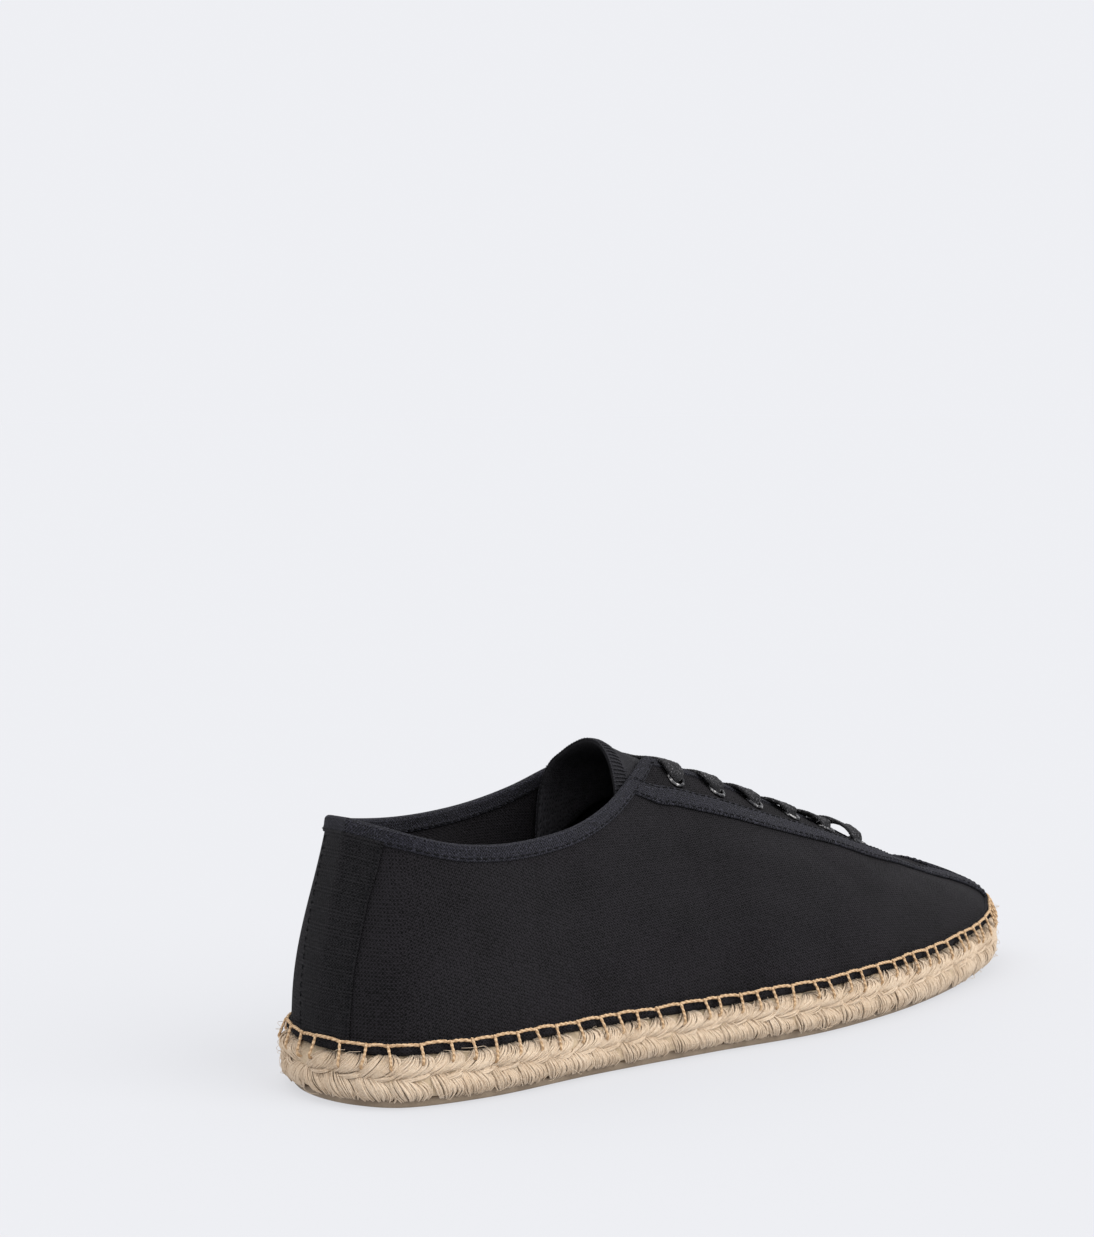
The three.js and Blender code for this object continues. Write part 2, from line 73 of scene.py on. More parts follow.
# Collar rows: along, lateral y, medial y, lateral z, medial z.
COLLAR_ROWS = np.array([
    (10.4, 0, 0, 79.4, 79.4),
    (15.4, -15.4, 15.8, 77.0, 78.0),
    (30, -22.6, 23.8, 72.6, 74.6),
    (46.5, -24.3, 25.6, 70.6, 73.0),
    (63, -24.0, 26.6, 70.7, 73.0),
    (79.5, -22.3, 27.4, 72.6, 74.4),
    (95, -18.6, 26.2, 76.8, 77.8),
    (109.4, -12.4, 22.6, 82.4, 83.4),
    (123, -4.7, 17.1, 87.4, 87.8),
])
# Facing rows: along, centre, half width, lateral z, medial z.
FACING_ROWS = np.array([
    (123, 6.2, 10.9, 87.4, 87.8),
    (146, 5.5, 9.6, 79.2, 79.5),
    (170, 4.8, 8.0, 70.2, 70.4),
    (194, 4.1, 6.2, 61.0, 61.1),
    (214, 3.5, 4.4, 52.9, 52.6),
    (223, 3.2, 2.6, 49.0, 48.9),
    (226, 3.1, 0, 47.2, 47.2),
])
CORNER = 8
THROAT = 14
# Section rows: foot, opening, rise, flare, reach, lateral pitch, medial pitch.
SECTION_ROWS = np.array([
    (0, 0, 24, 1, 22, 81, 81),
    (1, 0.6, 24, 1, 22, 81, 81),
    (2, 1.2, 24, 2, 22, 80, 80),
    (3, 2.4, 22, 2, 20, 80, 80),
    (4, 4.8, 20, 2, 18, 78, 80),
    (5, 7.4, 24, 4, 20, 62, 68),
    (5.3, 8, 24, 5, 20, 52, 60),
    (6, 8.9, 23, 7, 22, 38, 46),
    (7, 9.9, 20, 8, 24, 30, 37),
    (8, 10.8, 16, 8, 25, 24, 31),
    (9, 11.8, 13, 8, 22, 24, 29),
    (10, 12.6, 11.5, 8, 20, 31, 31),
    (11, 13.3, 9.5, 8, 22, 33, 32),
    (12, 13.7, 8.2, 8, 29, 25, 24),
    (13, 14, 7.5, 8, 33, 17, 17),
])
HANDLE_PULL = 12.0
CANVAS_WALL = 1.7


# ---------------------------------------------------------------- curves and the upper's surface
def unit(v):
    """Vectors of length 1."""
    return v / np.maximum(np.linalg.norm(v, axis=-1, keepdims=True), 1e-12)


def arc_lengths(points, axis=0):
    """Distances along lines of points, from 0 at their start. The coordinates are the last axis."""
    steps = np.linalg.norm(np.diff(points, axis=axis), axis=-1)
    return np.concatenate([0 * steps.take([0], axis), np.cumsum(steps, axis=axis)], axis=axis)


def cubic(start, end, slope_a, slope_b, t):
    """A curve from start to end with the given slopes there, read at t from 0 to 1."""
    a = 2 * start - 2 * end + slope_a + slope_b
    b = 3 * (end - start) - 2 * slope_a - slope_b
    return ((a * t + b) * t + slope_a) * t + start


def column(values, row):
    """A smooth curve through a column of numbers, read at fractional rows."""
    last = len(values) - 1
    i = np.clip(np.floor(row).astype(int), 0, last - 1)
    p0, p1, p2, p3 = (values[np.clip(i + k, 0, last)] for k in (-1, 0, 1, 2))
    return cubic(p1, p2, (p2 - p0) / 2, (p3 - p1) / 2, row - i)


def spline(points, closed=False):
    """A centripetal Catmull-Rom curve, as a function of shares from 0 to 1."""
    points = np.asarray(points, float)
    if closed:
        padded = np.vstack([points[-1:], points, points[:2]])
    else:
        padded = np.vstack([2 * points[0] - points[1], points, 2 * points[-1] - points[-2]])
    p0, p1, p2, p3 = padded[:-3], padded[1:-2], padded[2:-1], padded[3:]
    d0, d1, d2 = (
        np.maximum(((b - a) ** 2).sum(1) ** 0.25, 1e-4)[:, None]
        for a, b in ((p0, p1), (p1, p2), (p2, p3))
    )
    t1 = ((p1 - p0) / d0 - (p2 - p0) / (d0 + d1) + (p2 - p1) / d1) * d1
    t2 = ((p2 - p1) / d1 - (p3 - p1) / (d1 + d2) + (p3 - p2) / d2) * d1
    count = len(p1)

    def at(share):
        """The curve's points at shares of its rows."""
        place = np.asarray(share, float) * count
        place = np.mod(place, count) if closed else np.clip(place, 0, count)
        i = np.minimum(np.floor(place).astype(int), count - 1)
        return cubic(p1[i], p2[i], t1[i], t2[i], (place - i)[..., None])

    return at


OUTLINE = spline(
    [
        HEEL_POINT,
        *[(x, -lateral, 0) for x, lateral, _, _ in SOLE_ROWS],
        TIP_POINT,
        *[(x, medial, 0) for x, _, medial, _ in SOLE_ROWS[::-1]],
    ],
    closed=True,
)


def outline(ring):
    """Points and outward normals of the sole's outline. ring counts rows from the heel, lateral first."""
    ring = np.asarray(ring, float)
    point = OUTLINE(ring / RING)
    tangent = OUTLINE(ring / RING + 1e-4) - OUTLINE(ring / RING - 1e-4)
    normal = unit(np.stack([tangent[..., 1], -tangent[..., 0], 0 * tangent[..., 0]], -1))
    return point, normal


def row_of(ring):
    """The sole row of a place round the outline, from 0 at the heel to TIP_ROW at the toe."""
    ring = np.mod(ring, RING)
    return np.where(ring <= TIP_ROW, ring, RING - ring)


def lift(x):
    """How far the sole has lifted from the ground at a distance along it."""
    share = np.clip((x / LENGTH - SPRING_START) / (1 - SPRING_START), 0, 1)
    return TOE_SPRING * share * share


def jute_top(ring):
    """Height of the jute's top face before the toe's lift."""
    return column(TOP_COLUMN, row_of(ring))


def raised(point, ring, rise=0.0):
    """Points of the sole's plan set at a height above the canvas's foot, which follows the toe's lift."""
    point[..., 2] = jute_top(ring) + GAP + rise + lift(point[..., 0])
    return point


COLLAR = [spline(COLLAR_ROWS[:, [0, 1 + side, 3 + side]]) for side in (0, 1)]
FACING_X, FACING_CENTRE, FACING_HALF = FACING_ROWS[:, :3].T
FACING = [
    spline(np.stack([FACING_X, FACING_CENTRE + way * FACING_HALF, FACING_ROWS[:, 3 + side]], 1))
    for side, way in ((0, -1), (1, 1))
]


def opening_at(row, side):
    """Points of the opening: row 0 at the heel, CORNER at the facing's top, THROAT at its end."""
    collar = COLLAR[side](np.clip(row / CORNER, 0, 1))
    facing = FACING[side](np.clip((row - CORNER) / (THROAT - CORNER), 0, 1))
    return np.where((row <= CORNER)[..., None], collar, facing)


PLACES = np.linspace(0, len(SECTION_ROWS) - 1, 5601)
FOOT_OF_PLACE = column(SECTION_ROWS[:, 0], PLACES)
OPENING_OF_PLACE = column(SECTION_ROWS[:, 1], PLACES)


def opening_ring(opening, side=-1):
    """The place round the outline whose section ends at a place along the opening, on a side (-1 or 1)."""
    foot = np.interp(opening, OPENING_OF_PLACE, FOOT_OF_PLACE)
    return foot if side < 0 else RING - foot


def section(ring, up):
    """Points of the upper's outer surface: ring round the sole, up from 0 at the sole to 1 at the opening."""
    ring, up = np.broadcast_arrays(np.asarray(ring, float), np.asarray(up, float))
    ring = np.mod(ring, RING)
    medial = ring > TIP_ROW
    row = row_of(ring)
    place = np.interp(row, FOOT_OF_PLACE, PLACES)
    rise, flare, reach, lateral_pitch, medial_pitch = (column(values, place) for values in SECTION_ROWS.T[2:])
    foot, normal = outline(ring)
    foot = raised(foot, ring)
    opening = np.clip(column(SECTION_ROWS[:, 1], place), 0, THROAT)
    top = np.where(medial[..., None], opening_at(opening, 1), opening_at(opening, 0))
    flare = np.radians(flare)
    pitch = np.radians(np.where(medial, medial_pitch, lateral_pitch))
    low = foot + normal * (np.sin(flare) * rise)[..., None]
    low[..., 2] += np.cos(flare) * rise
    away = foot - top
    away[..., 2] = 0
    away = unit(away + normal * HANDLE_PULL)
    high = top + away * (np.cos(pitch) * reach)[..., None]
    high[..., 2] -= np.sin(pitch) * reach
    t = up[..., None]
    s = 1 - t
    return s**3 * foot + 3 * s * s * t * low + 3 * s * t * t * high + t**3 * top


# Soft creases of the canvas: start, end (x, y, z), half width, depth (negative for a ridge).
CREASES = [
    ((52, -31, 62), (92, -30, 40), 7.0, 0.55),
    ((84, -30, 66), (118, -34, 44), 6.0, 0.45),
    ((96, -29, 69), (112, -33, 56), 4.0, -0.35),
    ((128, -30, 60), (170, -38, 36), 7.0, 0.5),
    ((176, -24, 54), (196, -36, 38), 5.0, 0.55),
    ((190, -20, 52), (214, -32, 36), 4.5, -0.4),
    ((206, -18, 47), (236, -24, 34), 5.5, 0.45),
    ((236, -14, 38), (262, -13, 30), 4.5, 0.3),
    ((30, -30, 40), (70, -33, 26), 8.0, 0.4),
    ((22, 26, 60), (60, 32, 44), 7.0, 0.5),
    ((90, 31, 64), (130, 32, 42), 7.0, 0.55),
    ((150, 28, 56), (186, 40, 38), 6.0, 0.5),
    ((196, 24, 50), (220, 38, 36), 5.0, 0.5),
    ((214, 22, 46), (238, 34, 33), 4.5, -0.35),
    ((2, -8, 34), (4, 8, 36), 5.0, 0.35),
]
PUCKER_PITCH = 8.3
PUCKER_DEPTH = 0.28
PUCKER_REACH = 0.07  # as a share of the wall's height
SLOPE_STEP = 0.02  # in rows and in ups, for the surface's normals


def relief(point, ring, up):
    """How far the canvas stands out from the CAD surface: creases, and puckers above the blanket stitch."""
    height = np.zeros(point.shape[:-1])
    for start, end, width, depth in CREASES:
        start = np.array(start, float)
        line = np.array(end, float) - start
        share = np.clip((point - start) @ line / (line @ line), 0, 1)
        distance = np.linalg.norm(point - start - share[..., None] * line, axis=-1)
        fade = 0.35 + 0.65 * np.sin(np.pi * np.clip(share, 0.02, 0.98)) ** 0.7
        height -= depth * fade * np.exp(-((distance / width) ** 2))
    arc = arc_at(np.mod(ring, RING))
    pucker = np.sin(2 * np.pi * arc / PUCKER_PITCH + 1.4 * np.sin(arc / 31))
    height += PUCKER_DEPTH * pucker * np.exp(-((up / PUCKER_REACH) ** 2))
    return height


RING_TABLE = np.linspace(0, RING, 5201)
ARC_TABLE = arc_lengths(outline(RING_TABLE)[0])
PERIMETER = ARC_TABLE[-1]


def ring_at(arc):
    """The place round the outline at an arc length from the heel, in rows."""
    return np.interp(np.mod(arc, PERIMETER), ARC_TABLE, RING_TABLE)


def arc_at(ring):
    """The arc length from the heel of a place round the outline."""
    return np.interp(ring, RING_TABLE, ARC_TABLE)


def rounds(count):
    """Even arc lengths round the whole outline."""
    return np.arange(count) * PERIMETER / count


def skin(ring, up, out=0.0):
    """Points and outward normals of the canvas at ring and up, moved out by a distance."""
    ring, up, out = np.broadcast_arrays(*(np.asarray(value, float) for value in (ring, up, out)))
    point = section(ring, up)
    climb = section(ring, np.minimum(up + SLOPE_STEP, 1)) - section(ring, np.maximum(up - SLOPE_STEP, 0))
    ahead = section(ring + SLOPE_STEP, up) - section(ring - SLOPE_STEP, up)
    normal = unit(np.cross(ahead, climb))
    height = relief(point, ring, up) + out
    return point + normal * height[..., None], normal


UPS = np.linspace(0, 1, 161)


def up_below(ring, distance):
    """The place up each section that lies a distance below the opening's edge."""
    ring, distance = np.broadcast_arrays(np.asarray(ring, float), np.asarray(distance, float))
    flat = ring.ravel()
    wall = section(flat[:, None], UPS[None, :])
    away = np.linalg.norm(wall - wall[:, -1:], axis=2)
    found = [np.interp(-d, -row, UPS) for d, row in zip(distance.ravel(), away)]
    return np.array(found).reshape(ring.shape)


# ---------------------------------------------------------------- mesh helpers
@contextmanager
def reworked(mesh):
    """A mesh opened for work by bmesh; its faces are turned outward at the end."""
    work = bmesh.new()
    work.from_mesh(mesh)
    yield work
    bmesh.ops.recalc_face_normals(work, faces=work.faces)
    work.to_mesh(mesh)
    work.free()


def close_ends(mesh):
    """Drops loose points and closes the small gaps at the ends of caps."""
    with reworked(mesh) as work:
        loose = [vertex for vertex in work.verts if not vertex.link_faces]
        bmesh.ops.delete(work, geom=loose, context="VERTS")
        bmesh.ops.holes_fill(work, edges=[edge for edge in work.edges if edge.is_boundary], sides=4)


def open_loops(work):
    """The open edges of a mesh, as connected loops."""
    waiting = {edge for edge in work.edges if edge.is_boundary}
    loops = []
    while waiting:
        start = min(waiting, key=lambda edge: edge.index)
        waiting.discard(start)
        loop = [start]
        for edge in loop:
            found = {other for vertex in edge.verts for other in vertex.link_edges} & waiting
            loop.extend(sorted(found, key=lambda other: other.index))
            waiting -= found
        loops.append(loop)
    return loops


def middle_of(loop):
    """The mean place of a loop's edges."""
    return sum((vertex.co for edge in loop for vertex in edge.verts), Vector()) / (2 * len(loop))


def wall_holes(mesh):
    """Joins each hole in the outer cloth to the nearest hole in the lining."""
    with reworked(mesh) as work:
        loops = open_loops(work)
        while loops:
            loop = loops.pop(0)
            mate = min(loops, key=lambda other: (middle_of(other) - middle_of(loop)).length)
            loops.remove(mate)
            bmesh.ops.bridge_loops(work, edges=loop + mate)


def placed(name, data):
    """A new object in the scene."""
    thing = bpy.data.objects.new(name, data)
    bpy.context.scene.collection.objects.link(thing)
    return thing


def build(name, points, faces, material, slot, uv=None, stands_for=()):
    """A piece of the shoe from points in millimetres and arrays of faces."""
    points = (np.asarray(points, float).reshape(-1, 3) + ORIGIN) / 1000
    faces = faces if isinstance(faces, list) else [faces]
    corners = np.concatenate([f.ravel() for f in faces])
    sizes = np.concatenate([np.full(len(f), f.shape[1]) for f in faces])
    mesh = bpy.data.meshes.new(name)
    mesh.vertices.add(len(points))
    mesh.vertices.foreach_set("co", points.astype(np.float32).ravel())
    mesh.loops.add(len(corners))
    mesh.loops.foreach_set("vertex_index", corners.astype(np.int32))
    mesh.polygons.add(len(sizes))
    mesh.polygons.foreach_set("loop_start", np.concatenate([[0], np.cumsum(sizes)[:-1]]).astype(np.int32))
    mesh.polygons.foreach_set("loop_total", sizes.astype(np.int32))
    mesh.polygons.foreach_set("use_smooth", np.full(len(sizes), True))
    if uv is not None:
        layer = mesh.uv_layers.new(name="UVMap")
        layer.data.foreach_set("uv", np.asarray(uv, np.float32).reshape(-1, 2)[corners].ravel())
    mesh.validate()
    close_ends(mesh)
    mesh.materials.append(material)
    piece = placed(name, mesh)
    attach(piece, "root")
    if stands_for:
        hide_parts(*stands_for)
    return piece


def lattice(rows, columns, wrap_rows=False, wrap_columns=False):
    """Quads between the points of a grid, rows by columns."""
    r = np.arange(rows if wrap_rows else rows - 1)
    c = np.arange(columns if wrap_columns else columns - 1)
    r, c = (g.ravel() for g in np.meshgrid(r, c, indexing="ij"))
    r2 = (r + 1) % rows
    c2 = (c + 1) % columns
    return np.stack([r * columns + c, r * columns + c2, r2 * columns + c2, r2 * columns + c], 1)


def build_round(name, points, material, slot, uv_of, node):
    """A closed body round the sole from a grid of points, with a cap over its first and last column."""
    count, columns, _ = points.shape
    left = np.arange(1, count // 2)
    cap = np.stack([left, left + 1, count - left - 1, count - left], 1)
    cap = cap[cap[:, 1] < cap[:, 2]] * columns
    faces = [lattice(count, columns, wrap_rows=True), cap[:, ::-1], cap + columns - 1]
    flat = points.reshape(-1, 3)
    build(name, flat, faces, material, slot, uv_of(flat), [node])


def plan_uv(points):
    """Weave coordinates seen from above."""
    return points[:, :2]


def grid_uv(u, v):
    """Weave coordinates over a grid: u along its rows, v across."""
    return np.stack(np.meshgrid(u, v, indexing="ij"), -1)


def along(points):
    """Unit directions along lines of points, on the last axis but one."""
    return unit(np.gradient(points, axis=-2))


def cross_axes(paths, normals):
    """Unit directions across paths, square to the normals, and the rises square to both."""
    forward = along(paths)
    across = unit(np.cross(forward, normals))
    return across, np.cross(across, forward)


def tubes(paths, normals, wide, thick, sides=6):
    """Solid oval cords along many paths (count, steps, 3): wide across the normals, thick along them."""
    count, steps, _ = paths.shape
    across, rise = cross_axes(paths, normals)
    angle = np.linspace(0, 2 * np.pi, sides, endpoint=False)
    wide, thick = (np.broadcast_to(size, (count, steps))[..., None, None] for size in (wide, thick))
    spokes = across[:, :, None] * np.cos(angle)[:, None] * wide
    spokes = spokes + rise[:, :, None] * np.sin(angle)[:, None] * thick
    points = paths[:, :, None] + spokes
    one = lattice(steps, sides, wrap_columns=True)
    start = np.arange(sides)[None]
    end = (steps - 1) * sides + np.arange(sides)[None, ::-1]
    base = (np.arange(count) * steps * sides)[:, None, None]
    quads = (one[None] + base).reshape(-1, 4)
    caps = (np.vstack([start, end])[None] + base).reshape(-1, sides)
    return points.reshape(-1, 3), [quads, caps]


def joined(parts):
    """Several (points, [faces, ...]) as one."""
    points = []
    faces = {}
    base = 0
    for part_points, part_faces in parts:
        part_points = np.asarray(part_points).reshape(-1, 3)
        for f in part_faces:
            faces.setdefault(f.shape[1], []).append(f + base)
        points.append(part_points)
        base += len(part_points)
    return np.vstack(points), [np.vstack(f) for f in faces.values()]


def build_joined(name, parts, *looks, **more):
    """Several (points, [faces, ...]) as one piece."""
    return build(name, *joined(parts), *looks, **more)


STRIP_GAP = 0.5  # between the cloth and a band's edges, which leaves a dark line
STRIP_UNDERCUT = 0.9
STRIP_FOOT = 0.25  # how deep a band's foot lies in the cloth


def flat_strip(points, normals, heights, closed=False):
    """A band of cloth over a grid of points (along, across): top, two edges just off the cloth, a foot."""
    top = points + normals * np.asarray(heights)[..., None]
    edge = points + STRIP_GAP * normals
    foot = points - STRIP_FOOT * normals
    inward = unit(points[:, -1] - points[:, 0]) * STRIP_UNDERCUT
    left = np.stack([foot[:, 0] + inward, edge[:, 0]], axis=1)
    right = np.stack([edge[:, -1], foot[:, -1] - inward], axis=1)
    ring = np.concatenate([left, top, right], axis=1)
    rows, columns, _ = ring.shape
    faces = [lattice(rows, columns, wrap_rows=closed, wrap_columns=True)]
    if not closed:
        faces.append(np.vstack([np.arange(columns)[::-1], (rows - 1) * columns + np.arange(columns)]))
    return ring.reshape(-1, 3), faces


class Trail:
    """A line of points on a surface, with normals, read at arc lengths."""

    def __init__(self, points, normals):
        self.values = np.hstack([points, normals])
        self.arcs = arc_lengths(points)
        self.length = self.arcs[-1]

    def at(self, arc):
        """Points and unit normals at arc lengths."""
        found = np.stack([np.interp(arc, self.arcs, values) for values in self.values.T], -1)
        return found[..., :3], unit(found[..., 3:])


# A stitch along its length: height in radii, and thickness.
STITCH_SHARES = np.array([0, 0.08, 0.25, 0.5, 0.75, 0.92, 1.0])
STITCH_HEIGHTS = np.array([-0.3, 0.0, 0.75, 1.0, 0.75, 0.0, -0.3])
STITCH_TAPER = np.array([0.5, 0.8, 1, 1, 1, 0.8, 0.5])
STITCH_RADIUS = 0.2
STITCH_MARGIN = 1.0  # at both ends of a row
STITCH_SIZE = (2.6, 1.8)  # pitch and length


def running_stitches(points, normals, seed, size=STITCH_SIZE):
    """A row of short stitches that dive into the cloth at both ends."""
    pitch, length = size
    trail = Trail(points, normals)
    rng = np.random.default_rng(seed)
    room = trail.length - 2 * STITCH_MARGIN
    count = int(room / pitch)
    begin = STITCH_MARGIN + np.arange(count) * room / count + rng.uniform(-0.06, 0.06, count) * pitch
    arc = begin[:, None] + STITCH_SHARES * length * rng.uniform(0.9, 1.08, (count, 1))
    point, normal = trail.at(arc)
    point = point + normal * (STITCH_HEIGHTS * STITCH_RADIUS)[None, :, None]
    return tubes(point, normal, STITCH_TAPER * STITCH_RADIUS, STITCH_TAPER * STITCH_RADIUS)


# ---------------------------------------------------------------- the canvas upper
COLUMN_STEP = 1.25  # between columns of the canvas, at the sole
OUTER_ROWS = 60
INNER_ROWS = 26
EYELETS = 6
EYELET_ALONG = (130.5, 214.0)  # the first and last eyelet
EYELET_INSET = (7.3, 8.7)  # from the facing's edge
EYELET_CUT = 2.95
CANVAS_TOP = 1.6  # how far the canvas ends below the opening's edge, inside the binding
LINING_GAP = 0.2  # by which the lining's face lies within the CAD wall
LINING_SHIFT = 400  # of the lining's weave coordinates
BINDING_TURN = 1.1  # the binding's round top, below the opening's edge
HEEL_BEND = 40.0  # behind this distance along the shoe the weave runs round the heel


def cloth_uv(ring, point):
    """Weave coordinates in millimetres: along the shoe, and up round the wall."""
    arc = arc_at(np.mod(ring, RING))
    medial = np.mod(ring, RING) > TIP_ROW
    arc = np.where(medial, PERIMETER - arc, arc)
    foot_x = outline(ring)[0][..., 0]
    lateral = RING_TABLE < TIP_ROW
    back = np.interp(HEEL_BEND, outline(RING_TABLE[lateral])[0][:, 0], ARC_TABLE[lateral]) - HEEL_BEND
    u = point[..., 0] + np.where(foot_x < HEEL_BEND, arc - foot_x, back)
    inward = np.clip((foot_x - 10) / 60, 0, 1) * (point[..., 1] - 3)
    return np.stack([u, point[..., 2] + np.where(medial, -inward, inward)], -1)


def facing_ring(along_x, side):
    """The place round the outline whose section ends at a distance along the facing's edge."""
    facing_row = np.interp(along_x, FACING_X, np.arange(len(FACING_X)))
    return opening_ring(CORNER + facing_row, side)


def eyelet_places():
    """Every eyelet's side, number, ring, up, centre and normal, top pair first."""
    places = []
    for side in (-1, 1):
        for i in range(EYELETS):
            ring = facing_ring(np.interp(i, (0, EYELETS - 1), EYELET_ALONG), side)
            up = up_below(ring, np.interp(i, (0, EYELETS - 1), EYELET_INSET))
            centre, normal = skin(ring, up)
            places.append((side, i + 1, float(ring), float(up), centre, normal))
    return places


EYELET_PLACES = eyelet_places()


def round_holes(points, faces, radius):
    """Drops the faces inside each eyelet's hole and draws the ragged edge onto the circle."""
    kept = np.ones(len(faces), bool)
    for *_, centre, normal in EYELET_PLACES:
        near = np.linalg.norm(points - centre, axis=1) < 2.2 * radius
        offset = points[near] - centre
        flat = offset - (offset @ normal)[:, None] * normal
        distance = np.linalg.norm(flat, axis=1)
        index = np.where(near)[0]
        inside = np.zeros(len(points), bool)
        inside[index[distance < radius]] = True
        drop = inside[faces].all(1)
        rim = np.zeros(len(points), bool)
        rim[np.unique(faces[inside[faces].any(1) & ~drop])] = True
        rim &= inside
        move = rim[index]
        scale = (radius / np.maximum(distance[move], 0.2))[:, None]
        points[index[move]] += flat[move] * (scale - 1)
        kept &= ~drop
    return points, faces[kept]


def make_canvas(cloth):
    """The outer canvas and its lining as one closed wall, with round eyelet holes."""
    count = int(PERIMETER / COLUMN_STEP)
    ring = ring_at(rounds(count))[:, None]
    top = up_below(ring[:, 0], CANVAS_TOP)[:, None]
    outer_up = np.linspace(0, 1, OUTER_ROWS)[None] * top
    inner_up = np.linspace(1, 0, INNER_ROWS)[None] * top
    outer, _ = skin(ring, outer_up)
    inner, _ = skin(ring, inner_up, -CANVAS_WALL + LINING_GAP)
    inner[:, -1, 2] = outer[:, 0, 2]
    uv = np.concatenate([cloth_uv(ring, outer), cloth_uv(ring, inner) + LINING_SHIFT], axis=1)
    points = np.concatenate([outer, inner], axis=1).reshape(-1, 3)
    faces = lattice(count, OUTER_ROWS + INNER_ROWS, wrap_rows=True, wrap_columns=True)
    points, faces = round_holes(points, faces, EYELET_CUT)
    upper = build("canvas_upper", points, faces, cloth, "canvas", uv, stands_for=["upper"])
    wall_holes(upper.data)


# ---------------------------------------------------------------- binding, strips and tapes
BINDING_WIDTH = 5.0  # on the collar
THROAT_BINDING_WIDTH = 3.2
BINDING_PROUD = 0.55
CORNER_FOOT = 5.3  # the sole row below the facing's corner
BINDING_SEAM = 0.9  # its stitches, above its lower edge
BINDING_SHARES = np.array([1.0, 0.99, 0.93, 0.75, 0.5, 0.25, 0.0])  # of its width, from its lower edge
BINDING_SWELL = np.array([-0.2, 0.7, 1.0, 1.05, 0.85, 1.0, 1.0])  # of its height there


def binding_width(ring):
    """The binding's visible width round the opening: narrower down the throat."""
    share = np.clip((row_of(ring) - CORNER_FOOT + 0.25) / 0.5, 0, 1)
    share = share * share * (3 - 2 * share)
    return BINDING_WIDTH + share * (THROAT_BINDING_WIDTH - BINDING_WIDTH)


def make_binding(cloth):
    """Tape folded over the whole edge of the opening, with a slight ripple."""
    foot = opening_ring(np.linspace(0, THROAT, 700))
    ring = np.concatenate([foot[:-1], RING - foot[:0:-1]])
    distance = BINDING_TURN + (binding_width(ring) - BINDING_TURN)[:, None] * BINDING_SHARES
    up = up_below(ring[:, None] + 0 * distance, distance)
    arc = arc_at(ring)
    ripple = 0.06 * np.sin(arc / 2.3 + 2 * np.sin(arc / 17)) + 0.03 * np.sin(arc / 0.9)
    proud = BINDING_PROUD * BINDING_SWELL + ripple[:, None] * (BINDING_SHARES < 0.9)
    outer, _ = skin(ring[:, None], up, proud)
    inner, _ = skin(ring[:, None], up[:, ::-1], -CANVAS_WALL - proud[:, ::-1] + 0.1)
    base, base_normal = skin(ring, up[:, -1])
    high, _ = skin(ring, up_below(ring, np.full(len(ring), 0.2)))
    climb = unit(high - base)
    middle = base - base_normal * CANVAS_WALL / 2
    angle = np.linspace(0, np.pi, 9)[1:-1]
    radius = CANVAS_WALL / 2 + BINDING_PROUD
    turn = base_normal[:, None] * (np.cos(angle) * radius)[:, None]
    turn = turn + climb[:, None] * (np.sin(angle) * BINDING_TURN * 1.05)[:, None]
    points = np.concatenate([outer, middle[:, None] + turn, inner], axis=1)
    rows, columns, _ = points.shape
    uv = grid_uv(arc_lengths(outer[:, 3]), arc_lengths(points[0]))
    faces = lattice(rows, columns, wrap_rows=True, wrap_columns=True)
    build("collar_binding", points, faces, cloth, "canvas", uv)


def binding_stitches(thread):
    """The row of stitches near the binding's lower edge, outside and inside."""
    parts = []
    foot = opening_ring(np.linspace(0, CORNER + 0.1, 500))
    ring = np.concatenate([foot[::-1], RING - foot[1:]])
    up = up_below(ring, binding_width(ring) - BINDING_SEAM)
    for depth, way, seed in ((BINDING_PROUD, 1, 3), (-CANVAS_WALL - BINDING_PROUD, -1, 4)):
        point, normal = skin(ring, up, depth)
        parts.append(running_stitches(point, way * normal, seed, (2.7, 1.9)))
    build_joined("binding_stitches", parts, thread, "canvas")


STRIP_ROWS = 190
STRIP_COLUMNS = 26
# The heel strip's edges: height above its foot as a share, lateral half width, medial half width.
STRIP_EDGES = np.array([(0, 11.5, 9.5), (0.35, 9.8, 10.5), (0.7, 9.6, 11.0), (1.0, 11.4, 10.4)])
STRIP_PROUD = 0.95
STRIP_LEAN = 0.62
RIB_PITCH = 1.15
RIB_DEPTH = 0.15
SEAM_SUNK = 0.18


def strip_grid():
    """Rings and ups over the heel strip, bottom to top and lateral to medial."""
    climb = np.linspace(0, 1, STRIP_ROWS)
    lateral, medial = (np.interp(climb, STRIP_EDGES[:, 0], edge)[:, None] for edge in STRIP_EDGES.T[1:])
    across = np.linspace(-1, 1, STRIP_COLUMNS)
    arc = across * np.where(across < 0, lateral, medial)
    # Upper sections lean in, so their arc at the sole is wider than the strip.
    spread = 1 + STRIP_LEAN * climb[:, None]
    ring = ring_at(-arc * spread)
    top = up_below(ring[-1], np.full(STRIP_COLUMNS, BINDING_WIDTH - 1.0))
    return ring, climb[:, None] * top[None], arc


def sewn_line(point, normal, k, height, seed):
    """Running stitches along one column of a band's grid, sunk a little into its top."""
    return running_stitches(point[:, k] + normal[:, k] * (height - SEAM_SUNK), normal[:, k], seed)


